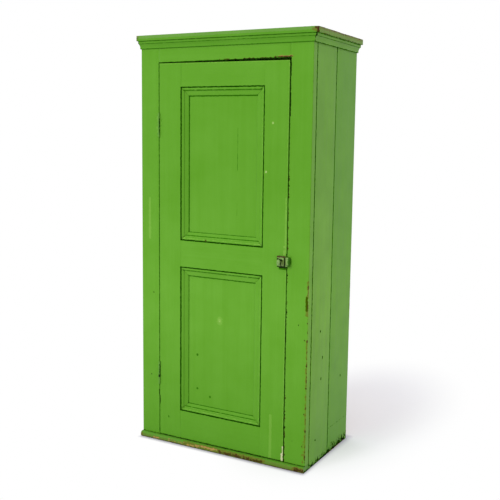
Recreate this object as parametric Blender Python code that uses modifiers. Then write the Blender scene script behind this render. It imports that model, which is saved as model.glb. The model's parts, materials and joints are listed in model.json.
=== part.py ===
"""Painted pine linen cupboard: face frame, one panelled door on butt hinges, surface latch, shelves.

Frame: origin on the floor at the middle of the carcass footprint. +X is to the right of someone
who stands in front of the door, +Y goes to the wall behind, +Z is up. Metres throughout.
"""
import math

import bmesh
import bpy
from mathutils import Matrix, Vector

# Carcass
cupboard_height = 1.800
carcass_width = 0.827
carcass_depth = 0.441
side_thickness = 0.020
side_front_board_width = 0.190
back_thickness = 0.012
back_board_count = 4
top_board_thickness = 0.020
sill_height = 0.026
sill_projection = 0.019
sill_nose_radius = 0.0115

# Tongue and groove joints of the boards
tongue_thickness = 0.0066
tongue_length = 0.007
joint_chamfer = 0.0015

# Clearances
joint_gap = 0.0003
running_gap = 0.0004
cut_overrun = 0.004
merge_distance = 0.00001

# Face frame
frame_depth = 0.036
frame_stile_left_width = 0.0925
frame_stile_right_width = 0.099
frame_rail_height = 0.095
frame_rail_thickness = 0.024
frame_tenon_length = 0.018
frame_tenon_thickness = 0.010
frame_tenon_shoulder = 0.014
door_stop_width = 0.012
door_stop_clearance = 0.0005

# Door
door_thickness = 0.024
door_gap_hinge_side = 0.0025
door_gap_latch_side = 0.003
door_gap_bottom = 0.0025
door_gap_top_hinge_side = 0.003
door_gap_top_latch_side = 0.007
door_stile_width = 0.1128
door_top_rail_height = 0.1005
door_lock_rail_height = 0.119
door_bottom_rail_height = 0.1295
lower_panel_height = 0.649
panel_recess = 0.011
panel_thickness = 0.008
panel_groove_depth = 0.010
panel_face_clearance = 0.0003
panel_edge_clearance = 0.0015

# Panel moulding: widths run in from the frame, depths run back from the door's face
moulding_width = 0.0365
moulding_quirk_width = 0.0016
moulding_quirk_depth = 0.0024
moulding_crown_depth = 0.0008
moulding_ovolo_width = 0.0150
moulding_ovolo_depth = 0.0026
moulding_step_depth = 0.0050
moulding_slope_width = 0.0320
moulding_slope_depth = 0.0072

# Cornice, from the carcass outwards; the section is the front's, and each return reaches out by its own
cornice_height = 0.056
cornice_overhang = 0.016
cornice_overhang_left = 0.015
cornice_overhang_right = 0.026
cornice_fillet_height = 0.0225
cornice_step_overhang = 0.0102
cornice_cove_height = 0.034
cornice_cove_overhang = 0.0084
cornice_foot_overhang = 0.0040
cornice_cove_sag = 0.0020
cornice_cove_points = 5

# Shelves
shelf_count = 4
shelf_thickness = 0.020
shelf_front_setback = 0.009
batten_width = 0.020
batten_height = 0.030

# Butt hinges
hinge_length = 0.100
hinge_drop_from_door_top = 0.262
hinge_rise_from_door_bottom = 0.2855
hinge_axis_forward = 0.0025
hinge_knuckle_radius = 0.0043
hinge_pin_radius = 0.0020
hinge_pin_clearance = 0.0003
hinge_leaf_thickness = 0.0023
hinge_leaf_reach = 0.0245
hinge_leaf_split = 0.0003
hinge_knuckle_count = 5
hinge_knuckle_gap = 0.0004
hinge_tip_radius = 0.0033
hinge_tip_length = 0.0024
hinge_scoop_clearance = 0.0006

# Latch
latch_height = 0.876
latch_case_width = 0.038
latch_case_height = 0.046
latch_case_depth = 0.014
latch_case_wall = 0.003
latch_case_bevel = 0.0022
latch_spindle_radius = 0.0030
latch_disc_radius = 0.0092
latch_disc_thickness = 0.0020
latch_pin_radius = 0.0014
latch_throw = 0.010
latch_pin_play = 0.0004
bolt_height = 0.0090
bolt_thickness = 0.0056
bolt_length = 0.0300
bolt_setback = 0.0006
bolt_door_clearance = 0.0006
bolt_lug_width = 0.0100
bolt_lug_height = 0.0065
knob_neck_length = 0.0155
knob_neck_sink = 0.0025
knob_width = 0.0150
knob_height = 0.0250
knob_depth = 0.0140
keeper_width = 0.0140
keeper_height = 0.038
keeper_depth = 0.016
keeper_slot_length = 0.0090
keeper_slot_clearance = 0.0012
keeper_bevel = 0.0015

# Roundness
round_segments = 24
pin_segments = 16
nose_points = 12
sharp_angle = math.radians(35)
flat_angle = math.radians(1)

# Worked out from the sizes above
half_width = carcass_width / 2
front = -carcass_depth / 2
back = carcass_depth / 2
frame_back = front + frame_depth
opening_left = -half_width + frame_stile_left_width
opening_right = half_width - frame_stile_right_width
carcass_top = cupboard_height - top_board_thickness
opening_top = carcass_top - frame_rail_height
opening_bottom = sill_height
door_left = opening_left + door_gap_hinge_side
door_right = opening_right - door_gap_latch_side
door_bottom = opening_bottom + door_gap_bottom
door_top_left = opening_top - door_gap_top_hinge_side
door_top_right = opening_top - door_gap_top_latch_side
door_back = front + door_thickness
panel_left = door_left + door_stile_width
panel_right = door_right - door_stile_width
lower_panel_bottom = door_bottom + door_bottom_rail_height
lower_panel_top = lower_panel_bottom + lower_panel_height
upper_panel_bottom = lower_panel_top + door_lock_rail_height
upper_panel_top = (door_top_left + door_top_right) / 2 - door_top_rail_height
inner_left = -half_width + side_thickness
inner_right = half_width - side_thickness
inner_back = back - back_thickness
hinge_axis_x = (opening_left + door_left) / 2
hinge_axis_y = front - hinge_axis_forward
hinge_upper_height = door_top_left - hinge_drop_from_door_top
hinge_lower_height = door_bottom + hinge_rise_from_door_bottom
latch_axis_x = door_right - latch_case_width / 2

collection = bpy.data.collections.get("linen_cupboard") or bpy.data.collections.new("linen_cupboard")
cutters = bpy.data.collections.get("cutters") or bpy.data.collections.new("cutters")


def clear_scene():
    for item in list(bpy.data.objects):
        bpy.data.objects.remove(item, do_unlink=True)
    for group in (collection, cutters):
        if group.name not in bpy.context.scene.collection.children:
            bpy.context.scene.collection.children.link(group)


def make_material(name, color, roughness, metallic=0.0):
    material = bpy.data.materials.new(name)
    material.use_nodes = True
    shader = material.node_tree.nodes["Principled BSDF"]
    shader.inputs["Base Color"].default_value = (*color, 1.0)
    shader.inputs["Roughness"].default_value = roughness
    shader.inputs["Metallic"].default_value = metallic
    return material


def painted_pine(name):
    return make_material(name, (0.123, 0.359, 0.029), 0.35)


def bare_pine(name):
    return make_material(name, (0.42, 0.27, 0.13), 0.7)


def painted_iron(name):
    return make_material(name, (0.120, 0.330, 0.035), 0.4, 0.1)


def worn_iron(name):
    return make_material(name, (0.13, 0.10, 0.07), 0.5, 0.8)


def add_object(name, mesh, finish):
    piece = bpy.data.objects.new(name, mesh)
    collection.objects.link(piece)
    mesh.materials.clear()
    mesh.materials.append(finish(name))
    return piece


def mesh_from_bmesh(name, shape):
    bmesh.ops.recalc_face_normals(shape, faces=shape.faces[:])
    mesh = bpy.data.meshes.new(name)
    shape.to_mesh(mesh)
    shape.free()
    return mesh


def shade_round(mesh):
    mesh.shade_smooth()
    mesh.set_sharp_from_angle(angle=sharp_angle)
    return mesh


def box_mesh(name, low, high):
    """Mesh of an upright box between two opposite corners."""
    low, high = Vector(low), Vector(high)
    shape = bmesh.new()
    bmesh.ops.create_cube(shape, size=1.0)
    bmesh.ops.scale(shape, vec=high - low, verts=shape.verts[:])
    bmesh.ops.translate(shape, vec=(low + high) / 2, verts=shape.verts[:])
    return mesh_from_bmesh(name, shape)


def cylinder_mesh(name, centre, axis, radius, length, segments):
    """Mesh of a cylinder with its middle at centre and its length along axis."""
    shape = bmesh.new()
    bmesh.ops.create_cone(
        shape, cap_ends=True, segments=segments, radius1=radius, radius2=radius, depth=length
    )
    turn = Vector((0, 0, 1)).rotation_difference(Vector(axis)).to_matrix().to_4x4()
    bmesh.ops.transform(shape, matrix=Matrix.Translation(centre) @ turn, verts=shape.verts[:])
    return shade_round(mesh_from_bmesh(name, shape))


def ellipsoid_mesh(name, centre, size):
    shape = bmesh.new()
    bmesh.ops.create_uvsphere(shape, u_segments=pin_segments, v_segments=round_segments // 2, radius=0.5)
    bmesh.ops.scale(shape, vec=size, verts=shape.verts[:])
    bmesh.ops.translate(shape, vec=centre, verts=shape.verts[:])
    return shade_round(mesh_from_bmesh(name, shape))


def box(name, low, high, finish):
    return add_object(name, box_mesh(name, low, high), finish)


def add_tool(mesh):
    """A cutter, or a shape to be joined, kept as a hidden wire in the cutters' collection."""
    tool = bpy.data.objects.new(mesh.name, mesh)
    cutters.objects.link(tool)
    tool.hide_render = True
    tool.display_type = "WIRE"
    return tool


def combine(piece, mesh, operation):
    modifier = piece.modifiers.new(mesh.name, "BOOLEAN")
    modifier.operation = operation
    modifier.solver = "EXACT"
    modifier.object = add_tool(mesh)


def cut(piece, mesh):
    combine(piece, mesh, "DIFFERENCE")


def join(piece, mesh):
    combine(piece, mesh, "UNION")


def bevel(piece, width, segments=1):
    modifier = piece.modifiers.new("eased_edges", "BEVEL")
    modifier.width = width
    modifier.segments = segments
    modifier.limit_method = "ANGLE"


def outline_mesh(name, points, low, high):
    """Flat closed outline, filled and extruded from low to high along its own Z."""
    curve = bpy.data.curves.new(name, "CURVE")
    curve.dimensions = "2D"
    curve.fill_mode = "BOTH"
    curve.extrude = (high - low) / 2
    spline = curve.splines.new("POLY")
    spline.points.add(len(points) - 1)
    for point, (across, along) in zip(spline.points, points):
        point.co = (across, along, 0, 1)
    spline.use_cyclic_u = True
    guide = bpy.data.objects.new(name + "_outline", curve)
    cutters.objects.link(guide)
    bpy.context.view_layer.update()
    depsgraph = bpy.context.evaluated_depsgraph_get()
    flat = bpy.data.meshes.new_from_object(guide.evaluated_get(depsgraph))
    shape = bmesh.new()
    shape.from_mesh(flat)
    bmesh.ops.remove_doubles(shape, verts=shape.verts[:], dist=merge_distance)
    bmesh.ops.dissolve_limit(
        shape, angle_limit=flat_angle, verts=shape.verts[:], edges=shape.edges[:]
    )
    bmesh.ops.translate(shape, vec=(0, 0, (low + high) / 2), verts=shape.verts[:])
    bpy.data.objects.remove(guide, do_unlink=True)
    bpy.data.meshes.remove(flat)
    return mesh_from_bmesh(name, shape)


def upright(name, points, low, high, finish):
    """Board whose plan outline, in x and y, runs from height low to height high."""
    return add_object(name, outline_mesh(name, points, low, high), finish)


def reshape(mesh, place):
    """Moves every vertex to place(vertex), and turns the faces out again."""
    shape = bmesh.new()
    shape.from_mesh(mesh)
    for vertex in shape.verts:
        vertex.co = place(vertex.co)
    shape.normal_update()
    bmesh.ops.recalc_face_normals(shape, faces=shape.faces[:])
    shape.to_mesh(mesh)
    shape.free()
    return mesh


def board_outline(start, end, thickness, tongue_at_start, groove_at_end):
    """Section of a tongued and grooved board: along its width, then in from the visible face."""
    tongue_low = (thickness - tongue_thickness) / 2
    tongue_high = tongue_low + tongue_thickness
    points = [(end - joint_chamfer, 0), (start + joint_chamfer, 0), (start, joint_chamfer)]
    if tongue_at_start:
        points += [
            (start, tongue_low),
            (start - tongue_length, tongue_low),
            (start - tongue_length, tongue_high),
            (start, tongue_high),
        ]
    points += [(start, thickness), (end, thickness)]
    if groove_at_end:
        bottom = end - tongue_length - joint_gap * 2
        points += [
            (end, tongue_high + joint_gap),
            (bottom, tongue_high + joint_gap),
            (bottom, tongue_low - joint_gap),
            (end, tongue_low - joint_gap),
        ]
    points += [(end, joint_chamfer)]
    return points


def build_sides():
    joint = frame_back + side_front_board_width
    for side, sign in (("left", -1), ("right", 1)):
        boards = (
            ("front", frame_back + joint_gap, joint, True, True),
            ("rear", joint + joint_gap, back, True, False),
        )
        for place, start, end, tongue, groove in boards:
            outline = board_outline(start, end, side_thickness, tongue, groove)
            plan = [(sign * (half_width - inset), along) for along, inset in outline]
            name = f"side_{side}_{place}_board"
            upright(name, plan, 0, carcass_top - joint_gap, painted_pine)


def build_back():
    width = (inner_right - inner_left - joint_gap * 2) / back_board_count
    first = inner_left + joint_gap
    for number in range(back_board_count):
        start = first + number * width + (joint_gap if number else 0)
        end = first + (number + 1) * width
        outline = board_outline(
            start, end, back_thickness, number > 0, number < back_board_count - 1
        )
        plan = [(along, back - inset) for along, inset in outline]
        upright(f"back_board_{number + 1}", plan, 0, carcass_top - joint_gap, bare_pine)


def build_frame_stile(name, outer, inner, side):
    """Corner post with a groove in its back edge for the side's first board."""
    middle = outer - side * side_thickness / 2
    groove_half = tongue_thickness / 2 + joint_gap
    groove_end = frame_back - tongue_length - joint_gap
    plan = [
        (outer - side * joint_chamfer, front),
        (inner, front),
        (inner, frame_back),
        (middle - side * groove_half, frame_back),
        (middle - side * groove_half, groove_end),
        (middle + side * groove_half, groove_end),
        (middle + side * groove_half, frame_back),
        (outer - side * joint_chamfer, frame_back),
        (outer, frame_back - joint_chamfer),
        (outer, front + joint_chamfer),
    ]
    stile = upright(name, plan, sill_height + joint_gap, carcass_top - joint_gap, painted_pine)
    tenon_low = opening_top + frame_tenon_shoulder - joint_gap
    tenon_high = carcass_top - frame_tenon_shoulder + joint_gap
    tenon_front = front + (frame_rail_thickness - frame_tenon_thickness) / 2 - joint_gap
    low = (inner - side * cut_overrun, tenon_front, tenon_low)
    high = (
        inner + side * (frame_tenon_length + joint_gap),
        tenon_front + frame_tenon_thickness + joint_gap * 2,
        tenon_high,
    )
    cut(stile, box_mesh(name + "_mortise", *ordered(low, high)))
    return stile


def ordered(first, second):
    low = tuple(min(a, b) for a, b in zip(first, second))
    high = tuple(max(a, b) for a, b in zip(first, second))
    return low, high


def build_frame_rail():
    rail = box(
        "frame_top_rail",
        (opening_left + joint_gap, front, opening_top),
        (opening_right - joint_gap, front + frame_rail_thickness, carcass_top - joint_gap),
        painted_pine,
    )
    tenon_front = front + (frame_rail_thickness - frame_tenon_thickness) / 2
    tenons = box_mesh(
        "frame_rail_tenons",
        (opening_left - frame_tenon_length, tenon_front, opening_top + frame_tenon_shoulder),
        (
            opening_right + frame_tenon_length,
            tenon_front + frame_tenon_thickness,
            carcass_top - frame_tenon_shoulder,
        ),
    )
    join(rail, tenons)


def build_sill():
    """Board under the frame and the door, rounded in front and notched behind for the sides' tongues."""
    nose = front - sill_projection
    points = [(frame_back, 0), (frame_back, sill_height)]
    for step in range(nose_points + 1):
        angle = math.radians(90 + 180 * step / nose_points)
        across = nose + sill_nose_radius * (1 + math.cos(angle))
        points.append((across, sill_height / 2 * (1 + math.sin(angle))))
    mesh = outline_mesh("sill_board", points, -half_width, half_width)
    reshape(mesh, lambda spot: Vector((spot.z, spot.x, spot.y)))
    sill = add_object("sill_board", shade_round(mesh), painted_pine)
    for side, sign in (("left", -1), ("right", 1)):
        middle = sign * (half_width - side_thickness / 2)
        notch_half = tongue_thickness / 2 + joint_gap
        low = (middle - notch_half, frame_back - tongue_length - joint_gap, -cut_overrun)
        high = (middle + notch_half, frame_back + cut_overrun, sill_height + cut_overrun)
        cut(sill, box_mesh(f"sill_notch_{side}", low, high))


def build_carcass_boards():
    box(
        "bottom_board",
        (inner_left + joint_gap, frame_back + joint_gap, 0),
        (inner_right - joint_gap, inner_back - joint_gap, sill_height),
        bare_pine,
    )
    box(
        "top_board",
        (-half_width, front, carcass_top),
        (half_width, back, cupboard_height),
        bare_pine,
    )
    box(
        "door_stop_strip",
        (
            opening_right - door_stop_width,
            door_back + door_stop_clearance,
            sill_height + joint_gap,
        ),
        (opening_right - joint_gap, frame_back, opening_top),
        bare_pine,
    )


def cornice_profile():
    """Section of the cornice: out from the carcass, then height."""
    foot = cupboard_height - cornice_height
    cove_low = cupboard_height - cornice_cove_height
    fillet = cupboard_height - cornice_fillet_height
    points = [(joint_gap, foot), (cornice_foot_overhang, foot)]
    for step in range(1, cornice_cove_points + 1):
        share = step / cornice_cove_points
        out = cornice_foot_overhang + share * (cornice_cove_overhang - cornice_foot_overhang)
        out -= cornice_cove_sag * math.sin(math.pi * share)
        points.append((out, foot + share * (cove_low - foot)))
    points += [
        (cornice_step_overhang, cove_low),
        (cornice_step_overhang, fillet),
        (cornice_overhang, fillet),
        (cornice_overhang, cupboard_height),
        (joint_gap, cupboard_height),
    ]
    return points


def build_cornice():
    """Front length mitred at both ends, and a return on each side, mitred at its front end."""
    profile = cornice_profile()
    reach = {
        sign: (overhang - joint_gap) / (cornice_overhang - joint_gap)
        for sign, overhang in ((-1, cornice_overhang_left), (1, cornice_overhang_right))
    }
    mesh = outline_mesh("cornice_front", profile, -half_width, half_width)

    def lay_front(spot):
        sign = -1 if spot.z < 0 else 1
        along = spot.z + sign * reach[sign] * (spot.x - joint_gap)
        return Vector((along, front - spot.x, spot.y))

    add_object("cornice_front", shade_round(reshape(mesh, lay_front)), painted_pine)
    for side, sign in (("left", -1), ("right", 1)):
        name = f"cornice_{side}"
        mesh = outline_mesh(name, profile, front, back)

        def lay_side(spot):
            out = spot.x - joint_gap
            mitre = out if spot.z < 0 else 0
            along = sign * (half_width + joint_gap + reach[sign] * out)
            return Vector((along, spot.z - mitre, spot.y))

        add_object(name, shade_round(reshape(mesh, lay_side)), painted_pine)


def build_shelves():
    clear_height = carcass_top - sill_height
    bay = (clear_height - shelf_count * shelf_thickness) / (shelf_count + 1)
    shelf_front = frame_back + shelf_front_setback
    for number in range(1, shelf_count + 1):
        underside = sill_height + number * bay + (number - 1) * shelf_thickness
        box(
            f"shelf_{number}",
            (inner_left + joint_gap, shelf_front, underside),
            (inner_right - joint_gap, inner_back - joint_gap, underside + shelf_thickness),
            bare_pine,
        )
        for side, wall, sign in (("left", inner_left, 1), ("right", inner_right, -1)):
            low = (wall + sign * joint_gap, shelf_front, underside - joint_gap - batten_height)
            high = (
                wall + sign * (joint_gap + batten_width),
                inner_back - joint_gap,
                underside - joint_gap,
            )
            box(f"shelf_{number}_batten_{side}", *ordered(low, high), bare_pine)


def door_top_at(x):
    """Height of the door's top edge, which has dropped at the latch side."""
    share = (x - door_left) / (door_right - door_left)
    return door_top_left + share * (door_top_right - door_top_left)


def groove_cut(name, low, high):
    """Cutter for a panel groove: the x or z range comes from low and high, the depth is the panel's."""
    groove_front = front + panel_recess
    groove_back = groove_front + panel_thickness + panel_face_clearance * 2
    return box_mesh(name, (low[0], groove_front, low[1]), (high[0], groove_back, high[1]))


def build_door_stile(name, outer, inner, side):
    """Door stile with a groove down its inner edge, and a top edge that follows the door's slope."""
    face = [
        (outer, door_bottom),
        (inner, door_bottom),
        (inner, door_top_at(inner)),
        (outer, door_top_at(outer)),
    ]
    mesh = outline_mesh(name, face, front, door_back)
    reshape(mesh, lambda spot: Vector((spot.x, spot.z, spot.y)))
    stile = add_object(name, mesh, painted_pine)
    low_x = min(inner + side * cut_overrun, inner - side * panel_groove_depth)
    high_x = max(inner + side * cut_overrun, inner - side * panel_groove_depth)
    cut(stile, groove_cut(name + "_groove", (low_x, 0), (high_x, cupboard_height)))
    return stile


def build_door_rail(name, bottom, top, groove_below, groove_above):
    """Rail between the stiles, with stub tenons that fill the stiles' grooves."""
    left = panel_left + joint_gap
    right = panel_right - joint_gap
    slope_left = door_top_at(left) if top is None else top
    slope_right = door_top_at(right) if top is None else top
    face = [(left, bottom), (right, bottom), (right, slope_right), (left, slope_left)]
    mesh = outline_mesh(name, face, front, door_back)
    reshape(mesh, lambda spot: Vector((spot.x, spot.z, spot.y)))
    rail = add_object(name, mesh, painted_pine)
    reach = panel_groove_depth - panel_edge_clearance
    tenon_front = front + panel_recess + panel_face_clearance
    tenon_low = bottom + (panel_groove_depth if groove_below else 0)
    tenon_high = min(slope_left, slope_right) - (panel_groove_depth if groove_above else joint_gap)
    tenons = box_mesh(
        name + "_tenons",
        (panel_left - reach, tenon_front, tenon_low),
        (panel_right + reach, tenon_front + panel_thickness, tenon_high),
    )
    join(rail, tenons)
    ends = (left - cut_overrun, right + cut_overrun)
    if groove_below:
        low = (ends[0], bottom - cut_overrun)
        high = (ends[1], bottom + panel_groove_depth)
        cut(rail, groove_cut(name + "_groove_below", low, high))
    if groove_above:
        low = (ends[0], top - panel_groove_depth)
        high = (ends[1], top + cut_overrun)
        cut(rail, groove_cut(name + "_groove_above", low, high))
    return rail


def build_panel(name, bottom, top):
    reach = panel_groove_depth - panel_edge_clearance
    panel_front = front + panel_recess + panel_face_clearance
    box(
        name,
        (panel_left - reach, panel_front, bottom - reach),
        (panel_right + reach, panel_front + panel_thickness, top + reach),
        painted_pine,
    )


def moulding_profile():
    """Section of a panel moulding: in from the frame's edge, then back from the door's face."""
    floor = panel_recess
    crown = (moulding_quirk_width + moulding_ovolo_width) / 2
    return [
        (joint_gap, floor),
        (joint_gap, moulding_quirk_depth),
        (moulding_quirk_width, moulding_crown_depth),
        (crown, moulding_crown_depth),
        (moulding_ovolo_width, moulding_ovolo_depth),
        (moulding_ovolo_width, moulding_step_depth),
        (moulding_slope_width, moulding_slope_depth),
        (moulding_width, (moulding_slope_depth + floor) / 2),
        (moulding_width, floor),
    ]


def build_panel_mouldings(prefix, bottom, top):
    """Four mitred lengths round one panel; each is narrowed at its ends by its own width."""
    profile = moulding_profile()
    sides = (
        ("left", bottom, top, lambda inset, back_off, along: (panel_left + inset, back_off, along)),
        ("right", bottom, top, lambda inset, back_off, along: (panel_right - inset, back_off, along)),
        ("bottom", panel_left, panel_right, lambda inset, back_off, along: (along, back_off, bottom + inset)),
        ("top", panel_left, panel_right, lambda inset, back_off, along: (along, back_off, top - inset)),
    )
    for side, start, end, place in sides:
        name = f"{prefix}_moulding_{side}"
        mesh = outline_mesh(name, profile, start, end)
        middle = (start + end) / 2

        def lay(spot):
            mitre = spot.x + joint_gap
            along = spot.z + mitre if spot.z < middle else spot.z - mitre
            return Vector(place(spot.x, front + spot.y, along))

        add_object(name, reshape(mesh, lay), painted_pine)


def build_door():
    hinge_stile = build_door_stile("door_stile_hinge_side", door_left, panel_left, 1)
    build_door_stile("door_stile_latch_side", door_right, panel_right, -1)
    build_door_rail("door_rail_bottom", door_bottom, lower_panel_bottom, False, True)
    build_door_rail("door_rail_lock", lower_panel_top, upper_panel_bottom, True, True)
    build_door_rail("door_rail_top", upper_panel_top, None, True, False)
    build_panel("door_panel_lower", lower_panel_bottom, lower_panel_top)
    build_panel("door_panel_upper", upper_panel_bottom, upper_panel_top)
    build_panel_mouldings("lower", lower_panel_bottom, lower_panel_top)
    build_panel_mouldings("upper", upper_panel_bottom, upper_panel_top)
    return hinge_stile


def hinge_scoop(name, height):
    """Round clearance about the hinge pin, for the knuckles and the pin's tips."""
    return cylinder_mesh(
        name,
        (hinge_axis_x, hinge_axis_y, height),
        (0, 0, 1),
        hinge_knuckle_radius + hinge_scoop_clearance,
        hinge_length + (hinge_tip_length + running_gap * 2) * 2,
        round_segments,
    )


def hinge_mortise(name, height, sign):
    """Shallow seat for one leaf, in the frame's stile (sign -1) or the door's stile (sign 1)."""
    face = hinge_leaf_split / 2 + hinge_leaf_thickness + joint_gap
    low = (hinge_axis_x, front - cut_overrun, height - hinge_length / 2 - joint_gap)
    high = (
        hinge_axis_x + sign * face,
        hinge_axis_y + hinge_leaf_reach + joint_gap,
        height + hinge_length / 2 + joint_gap,
    )
    return box_mesh(name, *ordered(low, high))


def build_hinge_leaf(name, height, sign, own_knuckles):
    """Leaf with its share of the knuckles, united into one piece and bored for the pin."""
    inner = sign * hinge_leaf_split / 2
    outer = inner + sign * hinge_leaf_thickness
    clear = hinge_knuckle_radius + running_gap
    bottom = height - hinge_length / 2
    pitch = hinge_length / hinge_knuckle_count
    low = (hinge_axis_x + inner, hinge_axis_y + clear, bottom)
    high = (hinge_axis_x + outer, hinge_axis_y + hinge_leaf_reach, bottom + hinge_length)
    leaf = box(name, *ordered(low, high), worn_iron)
    for number in own_knuckles:
        start = bottom + number * pitch + hinge_knuckle_gap / 2
        end = start + pitch - hinge_knuckle_gap
        neck_low = (hinge_axis_x + inner, hinge_axis_y + hinge_pin_radius, start)
        neck_high = (hinge_axis_x + outer, hinge_axis_y + clear + cut_overrun, end)
        join(leaf, box_mesh(f"{name}_neck_{number}", *ordered(neck_low, neck_high)))
        barrel = cylinder_mesh(
            f"{name}_knuckle_{number}",
            (hinge_axis_x, hinge_axis_y, (start + end) / 2),
            (0, 0, 1),
            hinge_knuckle_radius,
            end - start,
            round_segments,
        )
        join(leaf, barrel)
    bore = cylinder_mesh(
        name + "_bore",
        (hinge_axis_x, hinge_axis_y, height),
        (0, 0, 1),
        hinge_pin_radius + hinge_pin_clearance,
        hinge_length + cut_overrun,
        round_segments,
    )
    cut(leaf, bore)


def build_hinge_pin(name, height):
    """Loose pin with a button tip above and below the knuckles."""
    tip_start = hinge_length / 2 + running_gap
    profile = [
        (0, tip_start + hinge_tip_length),
        (hinge_tip_radius / 2, tip_start + hinge_tip_length),
        (hinge_tip_radius, tip_start + hinge_tip_length / 2),
        (hinge_tip_radius, tip_start),
        (hinge_pin_radius, tip_start),
    ]
    profile += [(radius, -up) for radius, up in reversed(profile)]
    shape = bmesh.new()
    ring = [shape.verts.new((radius, 0, up)) for radius, up in profile]
    for first, second in zip(ring, ring[1:]):
        shape.edges.new((first, second))
    mesh = bpy.data.meshes.new(name)
    shape.to_mesh(mesh)
    shape.free()
    pin = add_object(name, mesh, worn_iron)
    pin.location = (hinge_axis_x, hinge_axis_y, height)
    turn = pin.modifiers.new("turned", "SCREW")
    turn.steps = pin_segments
    turn.render_steps = pin_segments
    turn.use_merge_vertices = True
    turn.merge_threshold = merge_distance
    return pin


def build_hinges(frame_stile, door_stile):
    frame_knuckles = range(0, hinge_knuckle_count, 2)
    door_knuckles = range(1, hinge_knuckle_count, 2)
    for place, height in (("upper", hinge_upper_height), ("lower", hinge_lower_height)):
        build_hinge_leaf(f"hinge_{place}_frame_leaf", height, -1, frame_knuckles)
        build_hinge_leaf(f"hinge_{place}_door_leaf", height, 1, door_knuckles)
        build_hinge_pin(f"hinge_{place}_pin", height)
        for stile, sign in ((frame_stile, -1), (door_stile, 1)):
            cut(stile, hinge_mortise(f"{stile.name}_{place}_seat", height, sign))
            cut(stile, hinge_scoop(f"{stile.name}_{place}_scoop", height))


def build_latch_case():
    """Cast cover on the door's latch edge, open at its back, with a spindle hole and a bolt slot."""
    case_left = door_right - latch_case_width
    case_front = front - joint_gap - latch_case_depth
    case = box(
        "latch_case",
        (case_left, case_front, latch_height - latch_case_height / 2),
        (door_right, front - joint_gap, latch_height + latch_case_height / 2),
        painted_iron,
    )
    bevel(case, latch_case_bevel)
    half_inside = latch_case_height / 2 - latch_case_wall
    cavity = box_mesh(
        "latch_case_cavity",
        (case_left + latch_case_wall, case_front + latch_case_wall, latch_height - half_inside),
        (door_right - latch_case_wall, front + cut_overrun, latch_height + half_inside),
    )
    cut(case, cavity)
    slot_half = bolt_height / 2 + running_gap
    slot = box_mesh(
        "latch_case_slot",
        (
            door_right - latch_case_wall - cut_overrun,
            bolt_front() - running_gap,
            latch_height - slot_half,
        ),
        (door_right + cut_overrun, front + cut_overrun, latch_height + slot_half),
    )
    cut(case, slot)
    hole = cylinder_mesh(
        "latch_case_hole",
        (latch_axis_x, case_front, latch_height),
        (0, 1, 0),
        latch_spindle_radius + running_gap,
        latch_case_wall * 2 + cut_overrun,
        round_segments,
    )
    cut(case, hole)


def bolt_front():
    return front - bolt_door_clearance - bolt_thickness


def latch_pin_orbit():
    """Radius of the crank pin: a quarter turn, from 45 degrees to 45 degrees, gives the throw."""
    return latch_throw / math.sqrt(2)


def build_latch_bolt():
    """Bolt drawn back into the case, with an upright slot that the crank pin works in."""
    right = door_right - bolt_setback
    pin_x = latch_axis_x - latch_throw / 2
    bolt = box(
        "latch_bolt",
        (right - bolt_length, bolt_front(), latch_height - bolt_height / 2),
        (right, bolt_front() + bolt_thickness, latch_height + bolt_height / 2),
        worn_iron,
    )
    lug_top = latch_height + bolt_height / 2 + bolt_lug_height
    lug = box_mesh(
        "latch_bolt_lug",
        (pin_x - bolt_lug_width / 2, bolt_front(), latch_height),
        (pin_x + bolt_lug_width / 2, bolt_front() + bolt_thickness, lug_top),
    )
    join(bolt, lug)
    slot_half = latch_pin_radius + latch_pin_play
    slot_low = latch_throw / 2 - slot_half
    slot_high = latch_pin_orbit() + slot_half
    slot = box_mesh(
        "latch_bolt_slot",
        (pin_x - slot_half, bolt_front() - cut_overrun, latch_height + slot_low),
        (pin_x + slot_half, front + cut_overrun, latch_height + slot_high),
    )
    cut(bolt, slot)


def build_latch_knob():
    """Oval thumb knob, spindle, disc and crank pin in one piece, turning about the spindle."""
    case_front = front - joint_gap - latch_case_depth
    disc_front = case_front + latch_case_wall + running_gap
    disc_back = disc_front + latch_disc_thickness
    knob_end = case_front - knob_neck_length
    spindle = cylinder_mesh(
        "latch_knob",
        (latch_axis_x, (knob_end + disc_back) / 2, latch_height),
        (0, 1, 0),
        latch_spindle_radius,
        disc_back - knob_end,
        round_segments,
    )
    knob = add_object("latch_knob", spindle, worn_iron)
    disc = cylinder_mesh(
        "latch_knob_disc",
        (latch_axis_x, (disc_front + disc_back) / 2, latch_height),
        (0, 1, 0),
        latch_disc_radius,
        disc_back - disc_front,
        round_segments,
    )
    join(knob, disc)
    pin_front = disc_front + latch_disc_thickness / 2
    pin_back = bolt_front() + bolt_thickness - running_gap
    offset = latch_throw / 2
    pin = cylinder_mesh(
        "latch_knob_crank_pin",
        (latch_axis_x - offset, (pin_front + pin_back) / 2, latch_height + offset),
        (0, 1, 0),
        latch_pin_radius,
        pin_back - pin_front,
        pin_segments,
    )
    join(knob, pin)
    grip_middle = knob_end - knob_depth / 2 + knob_neck_sink
    grip = ellipsoid_mesh(
        "latch_knob_grip",
        (latch_axis_x, grip_middle, latch_height),
        (knob_width, knob_depth, knob_height),
    )
    join(knob, grip)


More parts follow.
